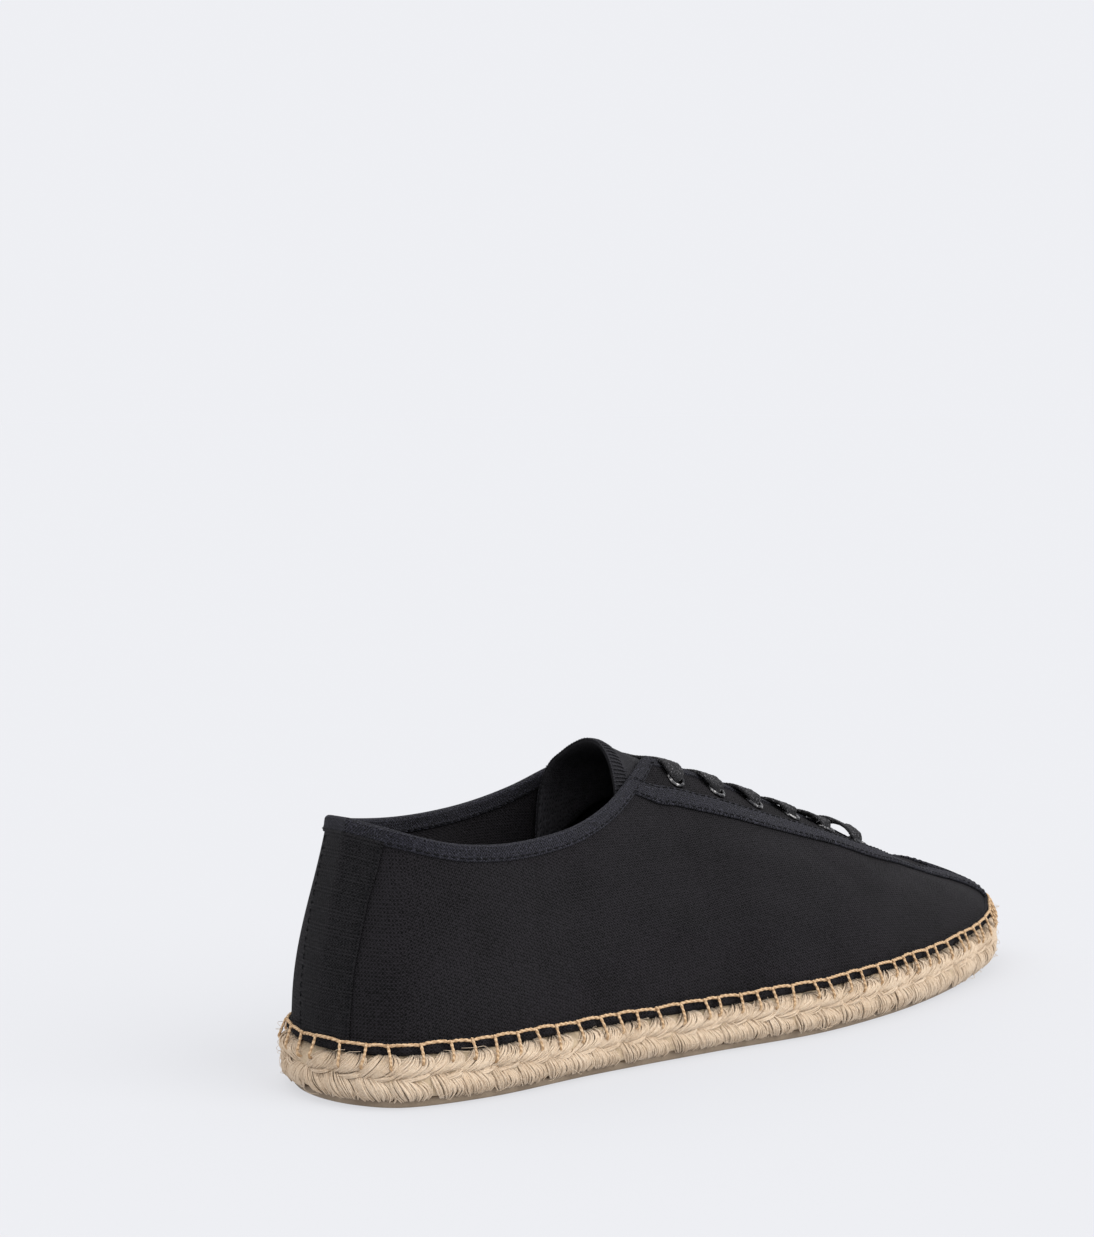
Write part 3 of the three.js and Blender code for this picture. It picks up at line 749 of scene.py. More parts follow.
def make_heel_strip(cloth, thread):
    """The ribbed strip over the heel seam, sewn along both edges."""
    ring, up, arc = strip_grid()
    point, normal = skin(ring, up)
    climbed = arc_lengths(point[:, STRIP_COLUMNS // 2])
    ribs = RIB_DEPTH * np.cos(2 * np.pi * climbed / RIB_PITCH)[:, None]
    edge = np.abs(np.linspace(-1, 1, STRIP_COLUMNS))
    crown = STRIP_PROUD * (1 - 0.35 * np.clip((edge - 0.9) / 0.1, 0, 1))
    sewn = -0.22 * np.exp(-(((edge - 0.86) / 0.04) ** 2))
    points, faces = flat_strip(point, normal, crown + sewn + ribs)
    across = np.pad(arc, ((0, 0), (2, 2)), mode="edge")
    uv = np.stack(np.broadcast_arrays(across, climbed[:, None]), -1)
    build("heel_strip", points, faces, cloth, "canvas", uv)
    seams = [sewn_line(point, normal, k, STRIP_PROUD, seed) for k, seed in ((1, 11), (STRIP_COLUMNS - 2, 12))]
    build_joined("heel_strip_stitches", seams, thread, "canvas")


def canvas_tree():
    """The canvas's outer face, for draping tapes on it."""
    ring = ring_at(np.arange(0, PERIMETER, 1.5))[:, None]
    up = np.linspace(0, 1, 70)[None]
    points, _ = skin(ring, up)
    faces = lattice(*points.shape[:2], wrap_rows=True)
    return BVHTree.FromPolygons([Vector(p) for p in points.reshape(-1, 3)], faces.tolist())


def faced(hits, outward):
    """The points and normals of hits on the cloth, normals turned to the outward side."""
    points, normals = (np.array([hit[k] for hit in hits]) for k in (0, 1))
    inward = (normals * outward).sum(-1, keepdims=True) < 0
    return points, np.where(inward, -normals, normals)


def drape(tree, plan):
    """Surface points and normals straight below points given as (x, y)."""
    hits = []
    for x, y in plan:
        hit = tree.ray_cast(Vector((x, y, 150)), Vector((0, 0, -1)))
        hits.append(hit if hit[0] else tree.find_nearest(Vector((x, y, 20))))
    return faced(hits, (0, 0, 1))


def settle(tree, wanted, outward):
    """The surface points and normals nearest to rows of points in space, given each row's rough normal."""
    hits = [tree.find_nearest(Vector(place)) for place in wanted.reshape(-1, 3)]
    found = faced(hits, np.repeat(outward, wanted.shape[1], axis=0))
    return [values.reshape(wanted.shape) for values in found]


def smoothed(values, passes=3):
    """Values averaged along their first axis, ends kept."""
    for _ in range(passes):
        middle = (values[:-2] + 2 * values[1:-1] + values[2:]) / 4
        values = np.concatenate([values[:1], middle, values[-1:]])
    return values


# The facing tape: along, its middle across the shoe on the lateral side, on the medial side, and its width.
TAPE_ROWS = np.array([
    (112.0, -13.4, 22.6, 6.0),
    (116, -13.3, 23.0, 6.2),
    (123, -13.7, 23.7, 6.5),
    (139, -15.6, 25.2, 6.9),
    (160, -17.5, 26.2, 7.2),
    (180, -17.5, 25.5, 7.3),
    (200, -17.4, 24.2, 7.3),
    (216, -15.8, 21.6, 7.3),
    (230, -12.7, 17.6, 7.3),
    (243, -8.9, 13.0, 7.3),
    (256, -5.6, 9.0, 7.3),
    (268, -3.3, 5.6, 7.3),
    (280, -3.2, 3.8, 7.3),
    (288, -4.0, 3.4, 7.3),
    (294.5, -4.8, 3.8, 7.3),
])
TAPE_PROUD = 1.0
TAPE_OVER = 0.22  # the lateral tape's extra height, where it lies over the medial one
TAPE_TUCK = 4.2  # how far the tape's end runs on under the binding
TUCK_ROWS = 8
TAPE_STEPS = 230
TAPE_ACROSS = np.array([-1, -0.97, -0.9, -0.78, -0.6, -0.3, 0, 0.3, 0.6, 0.78, 0.9, 0.97, 1])


def make_tape(tree, cloth, thread, side):
    """The tape sewn along one facing from the collar to the toe. The two lie over each other in front."""
    name = "lateral" if side < 0 else "medial"
    line = spline(TAPE_ROWS[:, [0, 1 if side < 0 else 2, 3]])(np.linspace(0, 1, TAPE_STEPS))
    half = line[:, 2:] / 2
    on_cloth, cloth_normal = drape(tree, line[:, :2])
    on_cloth = smoothed(on_cloth, 6)
    cloth_normal = unit(smoothed(cloth_normal, 12))
    across = unit(np.cross(cloth_normal, np.gradient(on_cloth, axis=0)))
    wanted = on_cloth[:, None] + across[:, None] * (half * TAPE_ACROSS)[..., None]
    back = unit(on_cloth[:1] - on_cloth[4:5])[:, None] * np.linspace(TAPE_TUCK, 0.6, TUCK_ROWS)[:, None, None]
    wanted = np.concatenate([wanted[:1] + back, wanted])
    cloth_normal = np.concatenate([np.repeat(cloth_normal[:1], TUCK_ROWS, axis=0), cloth_normal])
    point, normal = settle(tree, wanted, cloth_normal)
    normal = unit(smoothed(normal, 4))
    arc = arc_lengths(wanted[:, len(TAPE_ACROSS) // 2])
    top = TAPE_PROUD + (TAPE_OVER if side < 0 else 0)
    edge = np.abs(TAPE_ACROSS)
    crown = top * (1 - 0.25 * np.clip((edge - 0.9) / 0.1, 0, 1))
    tucked = np.interp(arc, [0, TAPE_TUCK - 1, TAPE_TUCK + 4], [0.4, 0.55, 1])[:, None]
    sewn = -0.2 * np.exp(-(((edge - 0.78) / 0.06) ** 2))
    ripple = 0.06 * np.sin(arc / 1.7 + np.sin(arc / 11))[:, None] * edge
    points, faces = flat_strip(smoothed(point, 12), normal, (crown + sewn + ripple) * tucked)
    uv = grid_uv(arc, np.pad(TAPE_ACROSS, 2, mode="edge") * 3.7)
    build("facing_tape_" + name, points, faces, cloth, "canvas", uv)
    seams = [sewn_line(point, normal, k, top, 20 + k + side) for k in (3, len(TAPE_ACROSS) - 4)]
    build_joined("facing_tape_stitches_" + name, seams, thread, "canvas")


# ---------------------------------------------------------------- the sole
SEAM_RISE = 2.4  # the blanket stitch's line above the canvas's foot
LEG_PITCH = 7.4
LEG_SHARES = np.linspace(0, 1, 14)
LEG_OUT = [1.5, 2.0, 2.5, 3.1, 3.9, 3.3, 1.6]  # a leg's distance out from the sole's outline, downward
TOE_SAG = 0.7  # how far the stitch's line drops at the toe's tip
TOE_DRAW = 1.1  # how far it is drawn in there
JUTE_FLOOR = RUBBER + GAP
RIM_POINTS = 900  # round the sole
CORE_POINTS = 700
TREAD_POINTS = 720
INSOLE_POINTS = 420
# The jute's side: share of its height, and how far it stands out past the tread's edge.
JUTE_CORE = np.array([
    (0, 0.8), (0.1, 2.4), (0.3, 2.6), (0.5, 2.1),
    (0.68, 2.5), (0.8, 1.4), (0.9, -0.6), (1, -1.6),
])
# The rim band's rows: height above the canvas's foot, and how far it stands out.
RIM_ROWS = np.array([(-1.2, -0.6), (-0.5, 0.9), (0.3, 1.6), (1.2, 1.7), (2.0, 1.3), (2.7, 0.7), (3.1, -0.3)])


def sole_point(arc, out, share):
    """Points of the jute's side: out past the tread's edge, at a share of its height."""
    ring = ring_at(arc)
    point, normal = outline(ring)
    point = point + normal * np.asarray(out)[..., None]
    height = JUTE_FLOOR + share * (jute_top(ring) - JUTE_FLOOR)
    point[..., 2] = height + lift(point[..., 0])
    return point, normal


def at_toe(ring):
    """1 at the toe's tip, falling to 0 along both sides."""
    return np.exp(-(((np.asarray(ring) - TIP_ROW) / 1.3) ** 2))


def make_rim_band(cloth):
    """The canvas's gathered edge between the jute and the blanket stitch's line."""
    arc = rounds(RIM_POINTS)
    ring = ring_at(arc)
    phase = 2 * np.pi * arc / LEG_PITCH + 1.2 * np.sin(arc / 23)
    puff = 0.75 + 0.25 * np.cos(phase) + 0.12 * np.sin(arc / 1.3) + 0.1 * np.sin(arc / 0.71)
    puff = puff * (1 - 0.5 * at_toe(ring))
    foot, normal = outline(ring)
    foot = raised(foot, ring)
    points = foot[:, None] + normal[:, None] * (RIM_ROWS[:, 1] * puff[:, None])[..., None]
    points[..., 2] += RIM_ROWS[:, 0]
    back = np.repeat(foot[:, None] - normal[:, None] * 1.2, 2, axis=1)
    back[..., 2] += np.array([2.8, -1.0])
    points = np.concatenate([points, back], axis=1)
    rows, columns, _ = points.shape
    faces = lattice(rows, columns, wrap_rows=True, wrap_columns=True)
    build("canvas_rim", points, faces, cloth, "canvas", grid_uv(arc, np.arange(columns)))


def leg_places():
    """Uneven arc lengths of the blanket stitch's legs."""
    rng = np.random.default_rng(41)
    count = int(PERIMETER / LEG_PITCH)
    step = rng.uniform(0.72, 1.28, count)
    return np.cumsum(step) * PERIMETER / step.sum(), rng


def twisted(paths, normals, radius, lay):
    """Each path as two thin plies wound round each other, one turn in each lay."""
    arc = arc_lengths(paths, 1)
    across, rise = cross_axes(paths, normals)
    parts = []
    for start in (0, np.pi):
        angle = (2 * np.pi * arc / lay + start)[..., None]
        ply = paths + (across * np.cos(angle) + rise * np.sin(angle)) * radius * 0.34
        parts.append(tubes(ply, normals, radius * 0.72, radius * 0.72, 5))
    return joined(parts)


def make_blanket_stitch(thread):
    """The thick thread round the sole: a line above the rim and legs down into the jute."""
    legs, rng = leg_places()
    arc = np.arange(0, PERIMETER, 0.8)
    ring = ring_at(arc)
    point, normal = outline(ring)
    nearest = np.abs(arc[:, None] - legs[None]).min(1)
    sag = 0.35 * np.exp(-((nearest / 1.3) ** 2))
    wander = 0.16 * np.sin(arc / 5.1 + 1) + 0.12 * np.sin(arc / 2.7)
    point = point + normal * (1.35 + 0.1 * np.sin(arc / 3.3) - TOE_DRAW * at_toe(ring))[:, None]
    point = raised(point, ring, SEAM_RISE - sag + wander - TOE_SAG * at_toe(ring))
    line, line_normals = (np.vstack([values, values[:1]])[None] for values in (point, normal))
    lean = rng.uniform(-1.3, 1.5, len(legs))[:, None]
    depth = rng.uniform(5.6, 8.2, len(legs))[:, None]
    leg_ring = ring_at(legs[:, None] + lean * LEG_SHARES + 0.35 * np.sin(np.pi * LEG_SHARES))
    leg, leg_normal = outline(leg_ring)
    out = np.interp(LEG_SHARES, [0, 0.12, 0.3, 0.5, 0.8, 0.93, 1], LEG_OUT)
    drawn_in = TOE_DRAW * at_toe(leg_ring) * (1 - LEG_SHARES) ** 2
    leg = leg + leg_normal * (out - drawn_in)[..., None]
    leg = raised(leg, leg_ring, SEAM_RISE + 0.2 - TOE_SAG * at_toe(leg_ring) - depth * LEG_SHARES)
    parts = [twisted(line, line_normals, 0.54, 3.4), twisted(leg, leg_normal, 0.46, 3.2)]
    build_joined("blanket_stitch", parts, thread, "jute")


BUNDLE_PITCH = 9.4
STRAND_STEPS = 9
# The rows of the braid: share of height at the row's low and high end, its lean along the sole, how far
# its middle stands out, the bundle's half width, and its strands.
BRAID_ROWS = {
    "upper": (0.43, 0.92, 7.0, 3.5, 5.1, 40),
    "lower": (-0.05, 0.55, -4.2, 3.6, 5.3, 40),
    "crossing": (0.36, 0.6, 11.0, 3.3, 1.5, 12),
}
TOE_DROP = 0.09  # the lower row covers more of the tread's edge towards the toe
FIBRES = 420


def braid_row(name, seed):
    """Bundles of jute strands along one row of the braid; the upper and lower rows lean opposite ways."""
    row_low, row_high, lean, stand, half, strands = BRAID_ROWS[name]
    rng = np.random.default_rng(seed)
    count = int(PERIMETER / BUNDLE_PITCH)
    centre = (np.arange(count) + rng.uniform(-0.12, 0.12, count)) * PERIMETER / count
    heading = np.where((centre > 0) & (centre < arc_at(TIP_ROW)), 1.0, -1.0)
    share = np.linspace(0, 1, STRAND_STEPS)
    width = np.interp(share, [0, 0.25, 0.55, 0.85, 1], [0.75, 0.98, 1.0, 0.8, 0.45])
    arch = np.sin(np.pi * share) ** 0.55
    parts = []
    for k in range(count):
        place = np.linspace(-1, 1, strands) + rng.normal(0, 0.05, strands)
        layer = rng.uniform(0, 1, strands)
        low = row_low + rng.normal(0, 0.03)
        high = row_high + rng.normal(0, 0.02)
        fullness = 1 - 0.34 * np.abs(place) ** 3
        offset = place[:, None] * half * width
        turn = 1 - (1 - share) ** 2 if lean > 0 else share**2
        swing = heading[k] * lean * (turn - 0.5)
        arc = centre[k] + offset + swing + rng.normal(0, 0.14, (strands, 1))
        if name == "lower":
            low = row_low - TOE_DROP * np.clip((outline(ring_at(centre[k]))[0][0] - 140) / 130, 0, 1)
        height = low + (high - low) * share + 0.02 * rng.normal(0, 1, (strands, 1))
        out = 0.1 + (stand + rng.normal(0, 0.15)) * arch * fullness[:, None] - 0.3 * layer[:, None]
        out = out + 0.09 * rng.normal(0, 1, (strands, 1)) * np.sin(np.pi * share)
        out = np.where(height < 0.04, np.maximum(out, 0.95), out)
        over = 0.35 * heading[k] * place[:, None] * np.sign(lean)
        point, normal = sole_point(arc, out + over, height)
        radius = rng.uniform(0.22, 0.38, (strands, 1)) * (0.75 + 0.25 * np.sin(np.pi * share))
        parts.append(tubes(point, normal, radius, radius * 0.8, 4))
    return joined(parts)


def strand_uv(points):
    """Jute coordinates from the place round the sole and the height."""
    return points[:, [0, 2]] + points[:, [1, 1]] * np.array([0.37, 0.0])


def make_braid(jute, core):
    """The braided jute: a core, two rows of strand bundles and the strands that cross between them."""
    arc = np.repeat(rounds(CORE_POINTS)[:, None], len(JUTE_CORE), axis=1)
    points, _ = sole_point(arc, JUTE_CORE[:, 1], JUTE_CORE[:, 0])
    # The core wears the darker jute, painted shade in the gaps between the bundles.
    build_round("jute_core", points, core, "jute", strand_uv, "midsole")
    for name, seed in (("upper", 5), ("lower", 6), ("crossing", 7)):
        strands, strand_faces = braid_row(name, seed)
        build("jute_braid_" + name, strands, strand_faces, jute, "jute", strand_uv(strands))


def make_fibres(jute):
    """Loose fibres that stand off the braid."""
    rng = np.random.default_rng(77)
    share = np.linspace(0, 1, 8)
    each = (FIBRES, 1)
    start = rng.uniform(0, PERIMETER, each)
    run = rng.normal(0, 4.5, each)
    height = rng.uniform(0.02, 1.0, each) + rng.normal(0, 0.22, each) * share
    arc = start + run * share + rng.normal(0, 0.9, each) * np.sin(2.5 * share)
    out = 2.9 + rng.uniform(0.2, 2.2, each) * np.sin(np.pi * share ** 1.3)
    point, normal = sole_point(arc, out, np.clip(height, -0.05, 1.06))
    points, faces = tubes(point, normal, 0.06, 0.06, 4)
    build("jute_fibres", points, faces, jute, "jute", strand_uv(points))


# The tread's section: how far it stands out from the sole's outline, and its height.
RUBBER_ROWS = [
    (-3.0, 0.35), (-0.9, 0.0), (-0.25, 0.25), (0.1, 0.9),
    (0.15, 1.5), (0.45, 2.3), (0.3, 3.0), (-1.0, 3.05),
]
TREAD_PITCH = 5.2
TREAD_INSET = 6  # from the tread's edge to the ends of its ribs
TREAD_WAVE = (1.3, 13)  # height and length of the ribs' waves


def make_rubber(rubber):
    """The thin rubber tread: an uneven dipped edge, and shallow grooves across its underside."""
    arc = rounds(TREAD_POINTS)
    outer, normal = outline(ring_at(arc))
    ragged = 0.35 * np.sin(arc / 6.3 + np.sin(arc / 19))
    ragged = ragged + 0.22 * np.sin(arc / 2.1) + 0.12 * np.sin(arc / 0.83)
    layers = []
    for out, height in RUBBER_ROWS:
        point = outer + normal * out
        rise = ragged * np.clip((height - 1.2) / 1.6, 0, 1)
        point[:, 2] = height + rise + lift(point[:, 0])
        layers.append(point)
    build_round("rubber_tread", np.stack(layers, axis=1), rubber, "rubber", plan_uv, "outsole")
    bars = []
    for x in np.arange(18, 282, TREAD_PITCH):
        lateral, medial = (np.interp(x, SOLE_ROWS[:, 0], edge) - TREAD_INSET for edge in SOLE_ROWS.T[1:3])
        y = np.linspace(-lateral, medial, 25)
        along_x = x + TREAD_WAVE[0] * np.sin(2 * np.pi * y / TREAD_WAVE[1])
        bars.append(np.stack([along_x, y, 0.42 + lift(along_x)], 1))
    paths = np.array(bars)
    down = np.zeros_like(paths)
    down[..., 2] = -1
    points, faces = tubes(paths, down, 1.1, 0.4, 8)
    build("tread_ribs", points, faces, rubber, "rubber", plan_uv(points))


INSOLE_INSET = 1.5
# The footbed's rolled edge: inset and height, from its underside to its face.
INSOLE_ROWS = [(0.3, 0.1), (0.0, 0.9), (0.1, 1.9), (0.9, 2.4), (3.0, 2.35)]
INSOLE_FACE = INSOLE_ROWS[-1][1]
INSOLE_DISH = 0.9
# The footbed's middle line, which its face closes on.
SPINE = np.array([(30, 1), (120, -3), (200, 3), (262, 8)])


def make_insole(cloth):
    """The cloth-covered footbed, a little dished, with a rolled edge."""
    ring = ring_at(rounds(INSOLE_POINTS))
    outer, normal = outline(ring)
    rings = [raised(outer - normal * (INSOLE_INSET + inset), ring, rise) for inset, rise in INSOLE_ROWS]
    spine_x = np.clip(outer[:, 0], SPINE[0, 0], SPINE[-1, 0])
    spine = np.stack([spine_x, np.interp(spine_x, *SPINE.T), 0 * spine_x], 1)
    edge = rings[-1]
    for share in (0.25, 0.5, 0.75, 0.97):
        point = edge * (1 - share) + spine * share
        rings.append(raised(point, ring, INSOLE_FACE - INSOLE_DISH * share ** 1.5))
    build_round("footbed", np.stack(rings, axis=1), cloth, "insole", plan_uv, "insole")


# ---------------------------------------------------------------- tongue
TONGUE_THICKNESS = 1.8
TONGUE_DROP = 1.7  # below the lining
TONGUE_SKIRT = 17.0  # how far it reaches under each facing
TONGUE_CROWN = 2.3
TONGUE_EDGE = 0.985
TONGUE_END_X = 104.0
# The free end's arch: across the shoe, and height.
TONGUE_END = np.array([
    (-13.2, 68.0), (-12.0, 81.0), (-9.2, 89.0), (-4.6, 93.2), (1.2, 93.9),
    (7.4, 91.8), (13.2, 88.6), (18.6, 84.8), (23.6, 76.0), (26.0, 53.0),
])
# The places along the opening where the tongue follows the facings, front first.
TONGUE_OPENINGS = (13.6, 12.9, 12, 11, 10, 9, 8.1)
TONGUE_EDGE_SUNK = (0.5, 0.27, 0.0)  # how far the thinned free end lies under the tongue's face, by steps
TONGUE_STEPS = 120
TONGUE_COLUMNS = 72
TONGUE_ROW = 1.1  # of weave to a step
TONGUE_COLUMN = 0.9
OVERLOCK_PITCH = 1.3
OVERLOCK_DEEP = 4.6
OVERLOCK_STEP = 1.05  # between the tongue's steps, near its end


def tongue_skirt(opening, side):
    """Points of the tongue's top face under one facing, from its outer edge to the facing's edge."""
    ring = opening_ring(opening, side)
    low = up_below(ring, TONGUE_SKIRT)
    up = low + (TONGUE_EDGE - low) * np.array([0, 0.34, 0.67, 1])
    point, normal = skin(ring, up)
    return point - normal * (CANVAS_WALL + TONGUE_DROP)


def tongue_rows():
    """The tongue's top face as rows across the shoe, front first."""
    rows = []
    for opening in TONGUE_OPENINGS:
        lateral = tongue_skirt(opening, -1)
        medial = tongue_skirt(opening, 1)[::-1]
        arch = [lateral[-1] + (medial[0] - lateral[-1]) * s + (0, 0, TONGUE_CROWN) for s in (1 / 3, 2 / 3)]
        rows.append(np.vstack([lateral, arch, medial]))
    rows.append(np.insert(TONGUE_END, 0, TONGUE_END_X, axis=1))
    return np.array(rows)


def tongue_face():
    """A fine grid over the tongue's top face, and its outward normals."""
    rows = tongue_rows()
    share = np.linspace(0, 1, TONGUE_STEPS)
    lengthwise = np.stack([spline(rows[:, k])(share) for k in range(rows.shape[1])], axis=1)
    across = np.linspace(0, 1, TONGUE_COLUMNS)
    face = np.stack([spline(row)(across) for row in lengthwise])
    normal = unit(np.cross(np.gradient(face, axis=1), np.gradient(face, axis=0)))
    wave = 0.175 * np.sin(share * 17)[:, None] * np.sin(across * 9) * (share > 0.5)[:, None]
    return face + normal * wave[..., None], normal


def make_tongue(cloth, thread):
    """The tongue: a curved sheet with a rounded edge, and overlock stitches round its free end."""
    face, normal = tongue_face()
    column_number = np.arange(TONGUE_COLUMNS)
    edge = np.minimum(column_number, column_number[::-1])
    near_end = np.arange(TONGUE_STEPS)[::-1]
    thin = np.minimum(1, 0.45 + 0.25 * np.minimum(edge[None], near_end[:, None]))
    half = TONGUE_THICKNESS / 2 * thin[..., None]
    middle = face - normal * TONGUE_THICKNESS / 2
    ring = np.concatenate([middle + normal * half, (middle - normal * half)[:, ::-1]], axis=1)
    rows, columns, _ = ring.shape
    left = column_number[:-1]
    cap = np.stack([left, left + 1, columns - 2 - left, columns - 1 - left], 1)
    faces = [lattice(rows, columns, wrap_columns=True), cap[:, ::-1], cap + (rows - 1) * columns]
    width = np.concatenate([column_number, column_number[::-1] + 200])
    uv = grid_uv(np.arange(rows) * TONGUE_ROW, width * TONGUE_COLUMN)
    build("tongue_cloth", ring, faces, cloth, "tongue", uv, stands_for=["tongue"])
    make_overlock(face, normal, thread)


def grid_read(grid, row, column_place):
    """A grid's values between its rows and columns."""
    r = np.clip(np.floor(row).astype(int), 0, TONGUE_STEPS - 2)
    c = np.clip(np.floor(column_place).astype(int), 0, TONGUE_COLUMNS - 2)
    down = np.clip(row - r, 0, 1)[..., None]
    right = np.clip(column_place - c, 0, 1)[..., None]
    low = grid[r, c] * (1 - right) + grid[r, c + 1] * right
    high = grid[r + 1, c] * (1 - right) + grid[r + 1, c + 1] * right
    return low * (1 - down) + high * down


def make_overlock(face, normal, thread):
    """Close stitches square to the tongue's free end, and the thread chains along both sides of them."""
    rng = np.random.default_rng(9)
    arcs = arc_lengths(face[-1])
    last = TONGUE_STEPS - 1
    count = int(arcs[-1] / OVERLOCK_PITCH)

    def columns_at(number):
        """Columns at even distances along the free end."""
        return np.interp(np.linspace(1.0, arcs[-1] - 1.0, number), arcs, np.arange(TONGUE_COLUMNS))

    deep = OVERLOCK_DEEP + rng.normal(0, 0.3, count)
    share = np.linspace(0, 1, 8)
    row = last - share * deep[:, None] / OVERLOCK_STEP
    place = columns_at(count)[:, None] + 0.5 * share
    out = grid_read(normal, row, place)
    sunk = np.interp(last - row, [0, 1, 2.2], TONGUE_EDGE_SUNK)
    height = 0.14 + 0.14 * np.sin(np.pi * share) - sunk
    parts = [tubes(grid_read(face, row, place) + out * height[..., None], out, 0.32, 0.28)]
    thrice = 3 * count
    for back, sunk in ((0.0, TONGUE_EDGE_SUNK[0]), (OVERLOCK_DEEP, 0.0)):
        row = np.full(thrice, last - back / OVERLOCK_STEP)
        place = columns_at(thrice)
        out = grid_read(normal, row, place)
        bob = 0.12 - sunk + 0.1 * np.cos(np.arange(thrice) * 2 * np.pi / 3)
        chain = grid_read(face, row, place) + out * bob[:, None]
        parts.append(tubes(chain[None], out[None], 0.3, 0.24))
    build_joined("tongue_overlock", parts, thread, "tongue")


# ---------------------------------------------------------------- eyelets and lace
# An eyelet's section: radius, and height over the canvas.
EYELET_PROFILE = np.array([
    (2.2, -2.3), (2.18, -0.9), (2.2, 0.3), (2.32, 0.72),
    (2.6, 0.95), (2.95, 0.98), (3.25, 0.8), (3.42, 0.45),
    (3.44, 0.1), (3.35, -0.1), (2.8, -0.12), (2.72, -1.9),
    (3.3, -2.0), (3.35, -2.4), (2.9, -2.6), (2.3, -2.55),
])
EYELET_SIDES = 40


def make_eyelets(metal):
    """Rolled metal eyelets, one piece for each facing."""
    angle = np.linspace(0, 2 * np.pi, EYELET_SIDES, endpoint=False)
    faces = lattice(EYELET_SIDES, len(EYELET_PROFILE), wrap_rows=True, wrap_columns=True)
    for side, name in ((-1, "lateral"), (1, "medial")):
        parts = []
        for *_, centre, normal in (place for place in EYELET_PLACES if place[0] == side):
            across = unit(np.cross(normal, (1.0, 0, 0.2)))
            other = np.cross(normal, across)
            spoke = across * np.cos(angle)[:, None] + other * np.sin(angle)[:, None]
            ring = centre + spoke[:, None] * EYELET_PROFILE[:, :1] + normal * EYELET_PROFILE[:, 1:]
            parts.append((ring, [faces]))
        nodes = [f"eyelet_{name}_{k + 1}" for k in range(EYELETS)]
        build_joined("eyelets_" + name, parts, metal, "eyelet", stands_for=nodes)


LACE_HALF_WIDTH = 3.6
LACE_HALF_THICK = 0.62
LACE_CROWNS = (0.0, -0.2, -0.2, -0.2, 0.2, 1.2)
LACE_SLACK = (0, 0, 0, 0, 0.3, 1.8)  # each bar's extra height over the facing's edge
LACE_STEP = 0.42
LACE_RIB_PITCH = 1.5  # of its herringbone
LACE_RIB_DEPTH = 0.10
LACE_YARN_DEPTH = 0.05
LACE_SIDES = 28
# The lace's run over an eyelet, from under the facing to the facing's edge: height over the canvas,
# share of the way to the edge, half width and half thickness.
LACE_RISE = [
    (-4.4, -0.25, 2.6, 0.8),
    (-2.2, -0.02, 1.6, 1.1),
    (0.4, 0.02, 1.75, 1.1),
    (1.5, 0.12, 3.0, 0.85),
]
LACE_OVER = [(1.85, 0.45, 3.8, 0.68), (1.55, 0.97, 3.9, 0.62)]
# The hidden runs under each facing, as pairs of eyelet numbers.
LACE_RUNS = {-1: [(6, 5), (4, 2), (3, 1)], 1: [(6, 4), (5, 3), (2, 1)]}
HIDDEN_STEPS = 12
FACING_EDGE = 0.975  # the up at which a bar leaves the facing


def band(path, width_way, half_width, half_thick, seed):
    """A woven flat lace along a path: rounded section, herringbone ribs, small unevenness."""
    knots = arc_lengths(path)
    count = int(knots[-1] / LACE_STEP)
    arc = np.linspace(0, knots[-1], count)
    *centre, wide, thick = (np.interp(arc, knots, values) for values in (*path.T, half_width, half_thick))
    centre = smoothed(np.stack(centre, -1), 2)
    forward = along(centre)
    side = unit(width_way - forward * (forward @ width_way)[:, None])
    rise = np.cross(forward, side)
    angle = np.linspace(0, 2 * np.pi, LACE_SIDES, endpoint=False)
    x = np.sign(np.cos(angle)) * np.abs(np.cos(angle)) ** 0.75
    y = np.sign(np.sin(angle)) * np.abs(np.sin(angle)) ** 0.45
    phase = np.random.default_rng(seed).uniform(0, 6)
    chevron = np.sin(2 * np.pi * (arc[:, None] / LACE_RIB_PITCH + 1.1 * np.abs(x)) + phase)
    yarns = np.sin(arc / 0.21)[:, None] * np.sin(x * 23)
    weave = LACE_RIB_DEPTH * chevron * np.cos(x * np.pi * 4.5) + LACE_YARN_DEPTH * yarns
    ring = centre[:, None] + side[:, None] * (x * (wide[:, None] + 0.5 * weave))[..., None]
    ring = ring + rise[:, None] * (y * (thick[:, None] + weave))[..., None]
    cap = np.arange(LACE_SIDES)[None]
    faces = [lattice(count, LACE_SIDES, wrap_columns=True), cap[:, ::-1], (count - 1) * LACE_SIDES + cap]
    uv = np.stack(np.broadcast_arrays(arc[:, None] + 50.0 * seed, x * LACE_HALF_WIDTH + 4 * (y > 0)), -1)
    return ring.reshape(-1, 3), faces, uv.reshape(-1, 2)


def eyelet_of(side, number):
    """One eyelet's ring, up, centre and normal."""
    return next(place[2:] for place in EYELET_PLACES if place[:2] == (side, number))


def rise_points(place, rows):
    """Path points over one eyelet, each with its half width and half thickness."""
    ring, _, centre, normal = place
    edge, edge_normal = skin(ring, FACING_EDGE)
    points = []
    for height, share, wide, thick in rows:
        turned = max(share, 0)
        way = unit(normal * (1 - turned) + edge_normal * turned)
        points.append((centre + (edge - centre) * share + way * height, wide, thick))
    return points


